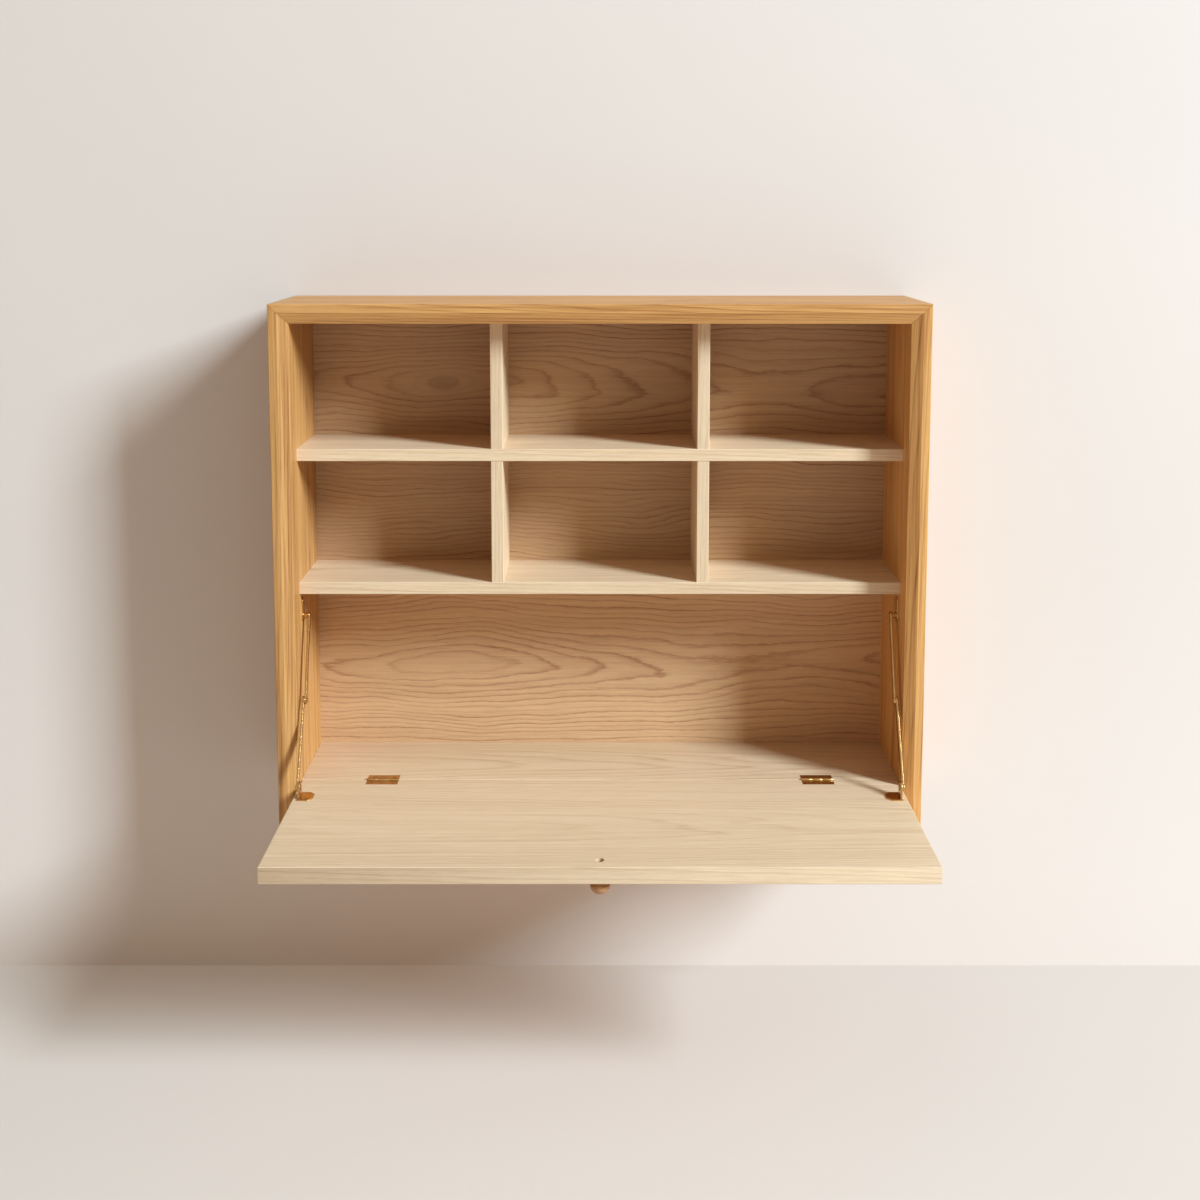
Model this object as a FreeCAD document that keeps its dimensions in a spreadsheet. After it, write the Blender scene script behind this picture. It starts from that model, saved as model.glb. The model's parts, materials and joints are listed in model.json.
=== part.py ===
import FreeCAD, Part
import math
import os
from types import SimpleNamespace

import Sketcher

# Fold down wall desk, in millimetres.
#
# A mitred, bevelled hardwood case hangs on a French cleat. Two housed shelves and four dividers
# make six pigeonholes above a desk bay. The flap closes the desk bay: it turns on two butt hinges
# let into the desk floor, and a folding stay at each side holds it level when it is open.
#
# Frame: +X right, +Y into the wall, +Z up. The origin is on the wall plane, at the middle of the
# wall cleat's row of screw holes. The flap is modelled open, which is where the stays stop it.

DRIVING_SIZES = {
    # case
    "case_width": 1000,
    "case_height": 814,
    "case_depth": 212,
    "case_board": 30,
    "edge_flat": 13,  # flat strip around the front, outside the bevel
    "bevel_depth": 8,  # how far the bevel runs back from the front
    "edge_ease": 0.8,  # small chamfer on the boards' front edges
    "spline_board": 4,
    "spline_reach": 7,  # depth of a spline in each of its two boards
    "spline_inset": 14,  # middle of the spline, from the case's outer faces
    "spline_stop": 30,  # uncut length of mitre behind the front
    # back panel and hanging cleats
    "panel_board": 6,
    "panel_recess": 12,  # from the wall to the panel
    "panel_groove": 8,
    "panel_play": 1,  # room for the panel to move, at the bottom of its groove
    "screw_line_drop": 111,  # from the case's top to the wall screws
    "hanging_cleat_drop": 45,
    "wall_cleat_drop": 60,
    "wall_cleat_width": 880,
    "cleat_clearance": 1,
    "wall_screw_pitch": 270,
    "wall_hole_radius": 2.75,
    "wall_head_radius": 5.25,
    # shelves and dividers
    "shelf_board": 19,
    "shelf_setback": 48,
    "middle_bay": 192,
    "desk_bay": 295,
    "divider_board": 19,
    "divider_offset": 160,
    "divider_setback": 1,
    "side_housing": 6,
    "divider_housing": 5,
    # flap and knob
    "flap_board": 25,
    "flap_reach": 305,  # from the hinge axis to the flap's front edge
    "flap_setback": 33,  # from the case's front to the hinge axis
    "flap_side_gap": 1,
    "flap_under_gap": 6,  # between the open flap and the case bottom
    "flap_round": 1.5,
    "seam_gap": 0.6,
    "knob_setback": 22,
    "knob_radius": 14,
    "knob_neck_radius": 9,
    "knob_neck_drop": 10,
    "knob_rim_drop": 6,
    "knob_bevel_drop": 7,
    "knob_face_radius": 8,
    "knob_bore_radius": 6,
    "knob_bore_depth": 6,
    "knob_screw_radius": 2,
    "knob_screw_bite": 14,
    "knob_head_radius": 4.5,
    "knob_crown_radius": 3.3,
    "knob_head_drop": 3,
    # hinges
    "hinge_offset": 342,
    "hinge_length": 50,
    "hinge_spread": 37,
    "leaf_board": 2,
    "knuckle_radius": 3,
    "knuckle_clearance": 0.3,
    "hinge_pin_radius": 1.3,
    "hinge_screw_pitch": 17,
    "hinge_screw_line": 11.5,  # from the hinge axis
    # folding stays
    "stay_side_gap": 5.7,  # from the case side to the lower link
    "stay_drop": 39,  # side pivot, below the lower shelf
    "stay_back": 34,  # side pivot, behind the hinge axis
    "stay_front": 68,  # flap pivot, in front of the hinge axis
    "stay_height": 16,  # flap pivot, above the flap
    "stay_bend": 10,  # how far the open stay's elbow sits behind the straight line
    "link_board": 3,
    "link_width": 10,
    "link_eye_radius": 6.5,
    "link_gap": 0.3,
    "rivet_radius": 2.5,
    "rivet_head_radius": 4.5,
    "rivet_crown_radius": 3,
    "rivet_head_drop": 1.8,
    "plate_board": 2,
    "side_plate_lobe_radius": 9,
    "side_plate_top_radius": 8,
    "side_plate_length": 22,
    "side_plate_neck": 13,
    "side_screw_first": 12,
    "side_screw_pitch": 10,
    "ear_board": 3,
    "ear_radius": 9,
    "foot_width": 23,
    "foot_length": 30,
    "foot_clip": 7,
    "foot_screw_inset": 14,
    "foot_screw_pitch": 20,
    # screws and fits
    "screw_radius": 1.5,
    "screw_head_radius": 3,
    "screw_length": 14,
    "screw_fit": 0.05,
    "running_fit": 0.05,
}

COUNTERSINK_ANGLE = 90  # degrees across the cone
SCREW_SIDES = 12  # flats around a small screw, its countersink and its pilot hole
HINGE_SCREWS = 3
FLOOR_KNUCKLES = 2
FLAP_KNUCKLES = 1
FULL_TURN = 360
SIDES = {"left": -1, "right": 1}
ROOT_HALF = math.sqrt(0.5)


class Size:
    """A length in mm together with the sheet expression that gives it."""

    def __init__(self, text, value):
        self.text = text
        self.value = value

    def __add__(self, other):
        return combine(self, "+", other, self.value + value_of(other))

    def __radd__(self, other):
        return combine(other, "+", self, value_of(other) + self.value)

    def __sub__(self, other):
        return combine(self, "-", other, self.value - value_of(other))

    def __rsub__(self, other):
        return combine(other, "-", self, value_of(other) - self.value)

    def __mul__(self, other):
        return combine(self, "*", other, self.value * value_of(other))

    def __rmul__(self, other):
        return combine(other, "*", self, value_of(other) * self.value)

    def __truediv__(self, other):
        return combine(self, "/", other, self.value / value_of(other))

    def __neg__(self):
        return Size(f"(0 - {self.text})", -self.value)


def text_of(size):
    return size.text if isinstance(size, Size) else f"{size:.9g}"


def value_of(size):
    return size.value if isinstance(size, Size) else size


def combine(first, sign, second, value):
    return Size(f"({text_of(first)} {sign} {text_of(second)})", value)


def root(size):
    return Size(f"sqrt({size.text})", math.sqrt(size.value))


def turn(rise, run):
    """Angle in degrees whose tangent is rise over run."""
    text = f"atan2({rise.text}; {run.text})"
    return Size(text, math.degrees(math.atan2(rise.value, run.value)))


# ---------------------------------------------------------------- document helpers


def make_sheet(document):
    sheet = document.addObject("Spreadsheet::Sheet", "Dims")
    for row, (alias, value) in enumerate(DRIVING_SIZES.items(), start=1):
        sheet.set(f"A{row}", alias)
        sheet.set(f"B{row}", str(value))
        sheet.setAlias(f"B{row}", alias)
    document.recompute()


def new_body(name, x=0, y=0, z=0):
    """Body with its own Label, standing at a place given by sizes."""
    body = doc.addObject("PartDesign::Body", name)
    body.Label = name
    for axis, size in zip("xyz", (x, y, z)):
        body.setExpression(f"Placement.Base.{axis}", text_of(size))
    bodies.append(body)
    return body


def lean(body, degrees):
    """Turns a body about the X axis through its own origin."""
    body.Placement = FreeCAD.Placement(
        body.Placement.Base, FreeCAD.Rotation(FreeCAD.Vector(1, 0, 0), degrees.value)
    )
    body.setExpression("Placement.Rotation.Angle", degrees.text)


def origin_feature(body, role):
    return next(f for f in body.Origin.OriginFeatures if f.Role == role)


def new_sketch(body, plane, lift=0):
    """Sketch on one of the body's origin planes, moved by lift along the plane's normal.

    The normals are +Z for XY_Plane, -Y for XZ_Plane and +X for YZ_Plane.
    """
    sketch = body.newObject("Sketcher::SketchObject", f"{body.Label}_sketch")
    sketch.AttachmentSupport = [(origin_feature(body, plane), "")]
    sketch.MapMode = "FlatFace"
    sketch.setExpression("AttachmentOffset.Base.z", text_of(lift))
    return sketch


def constrain(sketch, size, *what):
    """Adds a dimension and ties it to the sheet."""
    index = sketch.addConstraint(Sketcher.Constraint(*what, value_of(size)))
    if isinstance(size, Size):
        sketch.setExpression(f"Constraints[{index}]", size.text)


def arc_through(start, end, radius):
    """Minor arc; a positive radius has its centre to the left of the way from start to end."""
    way = end - start
    left = FreeCAD.Vector(-way.y, way.x, 0).normalize() * math.copysign(1, radius)
    reach = math.sqrt(radius * radius - way.Length * way.Length / 4)
    centre = (start + end) * 0.5 + left * reach
    circle = Part.Circle(centre, FreeCAD.Vector(0, 0, 1), abs(radius))
    first, last = (start, end) if radius > 0 else (end, start)
    angles = [math.atan2(p.y - centre.y, p.x - centre.x) for p in (first, last)]
    return Part.ArcOfCircle(circle, *angles)


def outline(sketch, points):
    """Closed outline. A third entry on a point is the radius of the arc to the next point."""
    corners = [FreeCAD.Vector(value_of(p[0]), value_of(p[1]), 0) for p in points]
    edges = []
    for point, start, end in zip(points, corners, corners[1:] + corners[:1]):
        radius = point[2] if len(point) > 2 else None
        if radius is None:
            edges.append((sketch.addGeometry(Part.LineSegment(start, end)), 1, 2))
            continue
        index = sketch.addGeometry(arc_through(start, end, value_of(radius)))
        ends = (1, 2) if value_of(radius) > 0 else (2, 1)
        edges.append((index, *ends))
        constrain(sketch, radius if value_of(radius) > 0 else -radius, "Radius", index)
    for edge, after in zip(edges, edges[1:] + edges[:1]):
        sketch.addConstraint(Sketcher.Constraint("Coincident", edge[0], edge[2], after[0], after[1]))
    for point, edge in zip(points, edges):
        constrain(sketch, point[0], "DistanceX", -1, 1, edge[0], edge[1])
        constrain(sketch, point[1], "DistanceY", -1, 1, edge[0], edge[1])


def rectangle(sketch, left, right, bottom, top):
    outline(sketch, [(left, bottom), (right, bottom), (right, top), (left, top)])


def circle(sketch, x, y, radius):
    centre = FreeCAD.Vector(value_of(x), value_of(y), 0)
    index = sketch.addGeometry(Part.Circle(centre, FreeCAD.Vector(0, 0, 1), value_of(radius)))
    constrain(sketch, x, "DistanceX", -1, 1, index, 3)
    constrain(sketch, y, "DistanceY", -1, 1, index, 3)
    constrain(sketch, radius, "Radius", index)


def polygon(sketch, x, y, radius):
    """Section of a small screw or its hole: a regular outline whose flats touch the circle."""
    corner = radius / math.cos(math.pi / SCREW_SIDES)
    turns = [(k + 0.5) * 2 * math.pi / SCREW_SIDES for k in range(SCREW_SIDES)]
    outline(sketch, [(x + corner * math.cos(t), y + corner * math.sin(t)) for t in turns])


def settle(body, feature):
    """Recomputes, and stops if the new feature failed."""
    doc.recompute()
    if not feature.isValid():
        raise ValueError(f"{body.Label}: {feature.Name} failed")
    return feature


def pad(body, sketch, length, along=1, taper=0):
    """Adds material; along is +1 on the side of the sketch's normal, -1 on the other, 0 both.

    taper is how far its sides lean in, in degrees."""
    feature = body.newObject("PartDesign::Pad", f"{body.Label}_pad")
    feature.Profile = sketch
    feature.setExpression("Length", text_of(length))
    feature.SideType = "One side" if along else "Symmetric"
    feature.Reversed = along < 0
    feature.TaperAngle = -taper
    return settle(body, feature)


def pocket(body, sketch, length, along):
    """Removes material on the side of the sketch's normal that along names."""
    before = body.Shape.Volume
    feature = body.newObject("PartDesign::Pocket", f"{body.Label}_pocket")
    feature.Profile = sketch
    feature.setExpression("Length", text_of(length))
    feature.SideType = "One side" if along else "Symmetric"
    feature.Reversed = along > 0
    settle(body, feature)
    if body.Shape.Volume >= before:
        raise ValueError(f"{body.Label}: {feature.Name} removed nothing")
    return feature


def revolve(body, sketch, axis):
    feature = body.newObject("PartDesign::Revolution", f"{body.Label}_revolution")
    feature.Profile = sketch
    feature.ReferenceAxis = (sketch, [axis])
    feature.Angle = FULL_TURN
    return settle(body, feature)


def countersunk_holes(body, sketch, radius, head_radius):
    """Through holes at the sketch's circles, countersunk on the sketch's side."""
    doc.recompute()
    feature = body.newObject("PartDesign::Hole", f"{body.Label}_holes")
    feature.Profile = sketch
    doc.recompute()
    feature.DepthType = "ThroughAll"
    feature.HoleCutType = "Countersink"
    feature.HoleCutCustomValues = True
    feature.setExpression("Diameter", (2 * radius).text)
    feature.setExpression("HoleCutDiameter", (2 * head_radius).text)
    feature.HoleCutCountersinkAngle = COUNTERSINK_ANGLE
    return settle(body, feature)


def row(body, role, length, occurrences):
    """Linear pattern step for repeat()."""
    step = body.newObject("PartDesign::LinearPattern", f"{body.Label}_row")
    step.Direction = (origin_feature(body, role), [""])
    step.setExpression("Length", text_of(length))
    step.Occurrences = occurrences
    return step


def mirror(body, role):
    """Mirror step for repeat()."""
    step = body.newObject("PartDesign::Mirrored", f"{body.Label}_mirror")
    step.MirrorPlane = (origin_feature(body, role), [""])
    return step


def repeat(body, features, *steps):
    """Repeats features by each step in turn, every step on what the ones before it made."""
    feature = body.newObject("PartDesign::MultiTransform", f"{body.Label}_repeat")
    feature.Originals = features
    feature.Transformations = list(steps)
    body.Tip = feature
    return settle(body, feature)


def edges_where(body, test):
    """Names of the body's edges for whose two ends and middle the test is true."""
    names = []
    for number, edge in enumerate(body.Tip.Shape.Edges, start=1):
        probes = [v.Point for v in edge.Vertexes] + [edge.CenterOfMass]
        if all(test(p) for p in probes):
            names.append(f"Edge{number}")
    return names


def chamfer(body, names, size):
    base = body.Tip
    feature = body.newObject("PartDesign::Chamfer", f"{body.Label}_chamfer")
    feature.Base = (base, names)
    feature.setExpression("Size", size.text)
    return settle(body, feature)


def fillet(body, names, radius):
    base = body.Tip
    feature = body.newObject("PartDesign::Fillet", f"{body.Label}_fillet")
    feature.Base = (base, names)
    feature.setExpression("Radius", radius.text)
    return settle(body, feature)


def near(a, b):
    return abs(a - value_of(b)) < 1e-6


# ---------------------------------------------------------------- case


def edge_profile(face, inward, forward):
    """Section of a case board: (inward, forward) place a point that is so far from the board's
    outer face and from the wall. It has the bevel in front and the back panel's groove behind."""
    back = d.panel_recess
    groove_floor = d.case_board - d.panel_groove
    front = d.case_depth
    ease = d.edge_ease
    points = [
        (0, 0),
        (0, front - ease),
        (ease, front),
        (d.edge_flat, front),
        (d.case_board, front - d.bevel_depth),
        (d.case_board, back + d.panel_board),
        (groove_floor, back + d.panel_board),
        (groove_floor, back),
        (d.case_board, back),
        (d.case_board, 0),
    ]
    return [(inward(t), forward(f)) if face == "XY_Plane" else (forward(f), inward(t)) for t, f in points]


def spline_slot(corner_x, corner_z, side, level, into):
    """Half of a spline's section, in the board that lies along X (into=1) or along Z (into=-1).

    side and level are the signs of the case corner; the slot is square to the mitre."""
    middle_x = corner_x - side * d.spline_inset
    middle_z = corner_z - level * d.spline_inset
    half = d.spline_board * (ROOT_HALF / 2)
    deep = d.spline_reach * ROOT_HALF
    ends = [(middle_x + side * half * k, middle_z + level * half * k) for k in (-1, 1)]
    far = [(x - side * into * deep, z + level * into * deep) for x, z in reversed(ends)]
    return ends + far


def cut_splines(body, slots):
    sketch = new_sketch(body, "XZ_Plane")
    for points in slots:
        outline(sketch, points)
    pocket(body, sketch, d.case_depth - d.spline_stop, 1)


def case_rail(name, level):
    """Case top (level 1) or bottom (level -1), standing at its outer face."""
    body = new_body(name, z=CASE_TOP if level > 0 else CASE_BOTTOM)
    sketch = new_sketch(body, "YZ_Plane")
    outline(sketch, edge_profile("YZ_Plane", lambda t: -level * t, lambda f: -f))
    pad(body, sketch, d.case_width, 0)
    mitres = new_sketch(body, "XZ_Plane")
    half = d.case_width / 2
    for side in SIDES.values():
        outer = side * half
        inner = side * (half - d.case_board)
        outline(mitres, [(outer, 0), (inner, -level * d.case_board), (outer, -level * d.case_board)])
    pocket(body, mitres, d.case_depth, 1)
    cut_splines(body, [spline_slot(side * half, 0, side, level, 1) for side in SIDES.values()])
    return body


def case_top():
    body = case_rail("case_top", 1)
    sketch = new_sketch(body, "XY_Plane", -d.case_board)
    divider_plan(sketch)
    pocket(body, sketch, d.divider_housing, 1)


def divider_plan(sketch):
    """The two dividers' sections, seen from above."""
    for side in SIDES.values():
        middle = side * d.divider_offset
        half = d.divider_board / 2
        rectangle(sketch, middle - half, middle + half, -DIVIDER_FRONT, -PANEL_FRONT)


def case_side(name, side):
    """Case side, standing at its outer face on the level of the case's underside."""
    body = new_body(name, x=side * d.case_width / 2, z=CASE_BOTTOM)
    sketch = new_sketch(body, "XY_Plane")
    outline(sketch, edge_profile("XY_Plane", lambda t: -side * t, lambda f: -f))
    pad(body, sketch, d.case_height)
    mitres = new_sketch(body, "XZ_Plane")
    inner = -side * d.case_board
    tall = d.case_height
    outline(mitres, [(0, 0), (inner, 0), (inner, d.case_board)])
    outline(mitres, [(0, tall), (inner, tall), (inner, tall - d.case_board)])
    pocket(body, mitres, d.case_depth, 1)
    slots = [spline_slot(0, 0, side, -1, -1), spline_slot(0, tall, side, 1, -1)]
    cut_splines(body, slots)
    housings = new_sketch(body, "YZ_Plane", inner)
    for shelf in (LOWER_SHELF, UPPER_SHELF):
        bottom = shelf - CASE_BOTTOM
        rectangle(housings, -SHELF_FRONT, -PANEL_FRONT, bottom, bottom + d.shelf_board)
    pocket(body, housings, d.side_housing, side)
    pivot = STAY_SIDE_Z - CASE_BOTTOM
    places = [(STAY_SIDE_Y, pivot + height) for height in SIDE_SCREW_HEIGHTS]
    pilot_holes(body, "YZ_Plane", inner, places, side)


def mitre_splines():
    """Four loose tongues, one in each mitre, made from the one at the upper right."""
    middle = (CASE_TOP + CASE_BOTTOM) / 2
    body = new_body("mitre_splines", z=middle)
    corner_x = d.case_width / 2
    corner_z = d.case_height / 2
    near_half = spline_slot(corner_x, corner_z, 1, 1, 1)
    far_half = spline_slot(corner_x, corner_z, 1, 1, -1)
    sketch = new_sketch(body, "XZ_Plane")
    outline(sketch, near_half[2:] + [far_half[3], far_half[2]])
    tongue = pad(body, sketch, d.case_depth - d.spline_stop)
    repeat(body, [tongue], mirror(body, "YZ_Plane"), mirror(body, "XY_Plane"))


def back_panel():
    body = new_body("back_panel", z=CASE_BOTTOM)
    reach = INNER_HALF + d.panel_groove - d.panel_play
    margin = d.case_board - d.panel_groove + d.panel_play
    sketch = new_sketch(body, "XZ_Plane", d.panel_recess)
    rectangle(sketch, -reach, reach, margin, d.case_height - margin)
    pad(body, sketch, d.panel_board)


def hanging_cleat():
    """Cleat glued under the case top, behind the panel; its lower edge hooks over the wall's."""
    body = new_body("hanging_cleat", z=CASE_TOP - d.case_board)
    front = -d.panel_recess
    back = -d.cleat_clearance
    low = -d.hanging_cleat_drop
    sketch = new_sketch(body, "YZ_Plane")
    outline(sketch, [(front, 0), (back, 0), (back, low - (back - front)), (front, low)])
    pad(body, sketch, 2 * INNER_HALF, 0)


def wall_cleat():
    """Cleat screwed to the wall, with its screw holes on the level of the origin."""
    body = new_body("wall_cleat")
    front = -(d.panel_recess - d.cleat_clearance)
    crest = CASE_TOP - d.case_board - d.hanging_cleat_drop - d.cleat_clearance
    foot = crest - d.wall_cleat_drop
    sketch = new_sketch(body, "YZ_Plane")
    outline(sketch, [(front, foot), (0, foot), (0, crest + front), (front, crest)])
    pad(body, sketch, d.wall_cleat_width, 0)
    holes = new_sketch(body, "XZ_Plane", -front)
    for side in SIDES.values():
        for pitches in (0.5, 1.5):
            circle(holes, side * pitches * d.wall_screw_pitch, 0, d.wall_hole_radius)
    countersunk_holes(body, holes, d.wall_hole_radius, d.wall_head_radius)


def ease_front(body, front, across, thickness):
    """Chamfers a board's two long front edges; across is the axis of the board's thickness."""

    def long_edge(p):
        place = getattr(p, across)
        return near(p.y, -front) and (near(place, 0) or near(place, thickness))

    chamfer(body, edges_where(body, long_edge), d.edge_ease)


def shelf(name, height, housings_below):
    """Shelf in its side housings, grooved for the dividers above it and, if asked, below it."""
    body = new_body(name, z=height)
    reach = INNER_HALF + d.side_housing
    sketch = new_sketch(body, "XY_Plane")
    rectangle(sketch, -reach, reach, -SHELF_FRONT, -PANEL_FRONT)
    pad(body, sketch, d.shelf_board)
    ease_front(body, SHELF_FRONT, "z", d.shelf_board)
    top = new_sketch(body, "XY_Plane", d.shelf_board)
    divider_plan(top)
    pocket(body, top, d.divider_housing, -1)
    if housings_below:
        under = new_sketch(body, "XY_Plane")
        divider_plan(under)
        pocket(body, under, d.divider_housing, 1)


def divider(name, side, floor, bay):
    """Upright between two boards, let into both."""
    left = side * d.divider_offset - d.divider_board / 2
    body = new_body(name, x=left, z=floor - d.divider_housing)
    sketch = new_sketch(body, "XY_Plane")
    rectangle(sketch, 0, d.divider_board, -DIVIDER_FRONT, -PANEL_FRONT)
    pad(body, sketch, bay + 2 * d.divider_housing)
    ease_front(body, DIVIDER_FRONT, "x", d.divider_board)


def desk_floor():
    """Board on the case bottom that brings the desk's surface level with the open flap."""
    body = new_body("desk_floor", y=HINGE_Y, z=DESK)
    seam = d.seam_gap / 2
    rear = -PANEL_FRONT - HINGE_Y
    sketch = new_sketch(body, "XY_Plane")
    rectangle(sketch, -INNER_HALF, INNER_HALF, seam, rear)
    pad(body, sketch, FLOOR_BOARD, -1)
    chamfer(body, edges_where(body, lambda p: near(p.y, seam) and near(p.z, 0)), d.seam_gap)
    hinge_seats(body, 1)


# ---------------------------------------------------------------- flap


def flap_board():
    """The writing surface, modelled open, with the hinge axis through its body's origin."""
    body = new_body("flap_board", y=HINGE_Y, z=DESK)
    half = INNER_HALF - d.flap_side_gap
    seam = d.seam_gap / 2
    sketch = new_sketch(body, "XY_Plane")
    rectangle(sketch, -half, half, -d.flap_reach, -seam)
    pad(body, sketch, d.flap_board, -1)

    def outer(p):
        """On the top or bottom face, along the front or a side."""
        on_face = near(p.z, 0) or near(p.z, -d.flap_board)
        return on_face and (near(p.y, -d.flap_reach) or near(abs(p.x), half))

    fillet(body, edges_where(body, outer), d.flap_round)
    chamfer(body, edges_where(body, lambda p: near(p.y, -seam) and near(p.z, 0)), d.seam_gap)
    hinge_seats(body, -1)
    knob_y = -(d.flap_reach - d.knob_setback)
    bore = new_sketch(body, "XY_Plane")
    circle(bore, 0, knob_y, d.knob_bore_radius)
    pocket(body, bore, d.knob_bore_depth, -1)
    shank = new_sketch(body, "XY_Plane")
    circle(shank, 0, knob_y, d.knob_screw_radius + d.screw_fit)
    pocket(body, shank, d.flap_board, -1)
    rows = [-d.stay_front + step * d.foot_screw_pitch for step in (-0.5, 0.5)]
    pilot_holes(body, "XY_Plane", 0, [(side * FOOT_SCREW_X, y) for side in SIDES.values() for y in rows], -1)


def knob():
    """Turned knob: a tapered neck that opens into a straight rim, and a bevelled face."""
    body = new_body("knob", y=KNOB_Y, z=DESK - d.flap_board)
    rim_top = -d.knob_neck_drop
    rim_foot = rim_top - d.knob_rim_drop
    face = rim_foot - d.knob_bevel_drop
    sketch = new_sketch(body, "XZ_Plane")
    points = [
        (0, 0),
        (0, face),
        (d.knob_face_radius, face),
        (d.knob_radius, rim_foot),
        (d.knob_radius, rim_top),
        (d.knob_neck_radius, 0),
    ]
    outline(sketch, points)
    revolve(body, sketch, "V_Axis")
    pilot = new_sketch(body, "XY_Plane")
    circle(pilot, 0, 0, d.knob_screw_radius)
    pocket(body, pilot, d.knob_screw_bite, -1)


def knob_screw():
    """Pan-headed screw from the flap's inner face into the knob."""
    body = new_body("knob_screw", y=KNOB_Y, z=DESK - d.knob_bore_depth)
    shank = d.knob_screw_radius - d.screw_fit
    tip = -(d.flap_board - d.knob_bore_depth + d.knob_screw_bite - d.screw_fit)
    points = [
        (0, tip),
        (shank, tip),
        (shank, 0),
        (d.knob_head_radius, 0),
        (d.knob_crown_radius, d.knob_head_drop),
        (0, d.knob_head_drop),
    ]
    sketch = new_sketch(body, "XZ_Plane")
    outline(sketch, points)
    revolve(body, sketch, "V_Axis")


# ---------------------------------------------------------------- screws and rivets


def screw_sketch(body, plane, lift, places, radius):
    """Sketch with the section of one screw, or of its hole, at each place."""
    sketch = new_sketch(body, plane, lift)
    for x, y in places:
        polygon(sketch, x, y, radius)
    return sketch


def screw_holes(body, plane, lift, places, along):
    """Countersunk through holes in a brass plate, for screws that go in the way along names."""
    shanks = screw_sketch(body, plane, lift, places, d.screw_radius)
    pocket(body, shanks, 2 * d.plate_board, along)

    def rim(p):
        """At one of the holes, on the face that the screws go in from."""
        level, x, y = (p.z, p.x, p.y) if plane == "XY_Plane" else (p.x, p.y, p.z)
        distances = [math.hypot(x - value_of(hole_x), y - value_of(hole_y)) for hole_x, hole_y in places]
        return near(level, lift) and min(distances) < d.screw_head_radius.value

    chamfer(body, edges_where(body, rim), SCREW_CONE)


def pilot_holes(body, plane, lift, places, along):
    """Blind holes in the wood under a brass plate."""
    shanks = screw_sketch(body, plane, lift, places, d.screw_radius)
    return pocket(body, shanks, d.screw_length, along)


def screws(body, plane, lift, place, along, *steps):
    """Countersunk screws: one at the place given, and its copies by the steps of a pattern."""
    heads = screw_sketch(body, plane, lift, [place], d.screw_head_radius - d.screw_fit)
    head = pad(body, heads, SCREW_CONE, along, COUNTERSINK_ANGLE / 2)
    shanks = screw_sketch(body, plane, lift, [place], d.screw_radius - d.screw_fit)
    shank = pad(body, shanks, d.screw_length - d.screw_fit, along)
    repeat(body, [head, shank], *(row(body, *step) for step in steps), mirror(body, "YZ_Plane"))


def hinge_screws(name, across):
    """Screws of both hinges' leaves on one side of the axis: across is 1 behind it, -1 in front."""
    body = new_body(name, y=HINGE_Y + across * d.hinge_screw_line, z=DESK)
    first = d.hinge_offset - d.hinge_screw_pitch
    pitches = ("X_Axis", (HINGE_SCREWS - 1) * d.hinge_screw_pitch, HINGE_SCREWS)
    screws(body, "XY_Plane", 0, (first, 0), -1, pitches)


def foot_screws():
    """Screws of both flap brackets."""
    body = new_body("flap_bracket_screws", y=HINGE_Y - d.stay_front, z=DESK + d.plate_board)
    place = (FOOT_SCREW_X, -d.foot_screw_pitch / 2)
    screws(body, "XY_Plane", 0, place, -1, ("Y_Axis", d.foot_screw_pitch, 2))


def side_screws():
    """Screws of both side brackets."""
    body = new_body("side_bracket_screws", y=STAY_SIDE_Y, z=STAY_SIDE_Z)
    place = (0, d.side_screw_first)
    screws(body, "YZ_Plane", INNER_HALF - d.plate_board, place, 1, ("Z_Axis", d.side_screw_pitch, 2))


def turned(body, side, points):
    """Rivet about the X axis, from points (x, radius) of the right-hand one's half section."""
    sketch = new_sketch(body, "XY_Plane")
    outline(sketch, [(side * x, radius) for x, radius in points])
    revolve(body, sketch, "H_Axis")


# ---------------------------------------------------------------- hinges


def hinge_seats(body, across):
    """Leaf recess, barrel groove and screw pilots of both hinges, in a board whose body has its
    origin on the hinge axis. across is 1 for the board behind the axis, -1 for the one before."""
    half = d.hinge_length / 2
    middle = d.hinge_offset
    edge = across * d.hinge_spread / 2
    seat = new_sketch(body, "XY_Plane")
    near_y, far_y = (0, edge) if across > 0 else (edge, 0)
    rectangle(seat, middle - half, middle + half, near_y, far_y)
    recess = pocket(body, seat, d.leaf_board, -1)
    round_seat = new_sketch(body, "YZ_Plane", middle)
    circle(round_seat, 0, 0, d.knuckle_radius + d.knuckle_clearance)
    groove = pocket(body, round_seat, d.hinge_length + 2 * d.knuckle_clearance, 0)
    places = [(middle + x, across * d.hinge_screw_line) for x in HINGE_SCREW_STEPS]
    holes = pilot_holes(body, "XY_Plane", 0, places, -1)
    repeat(body, [recess, groove, holes], mirror(body, "YZ_Plane"))


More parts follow.
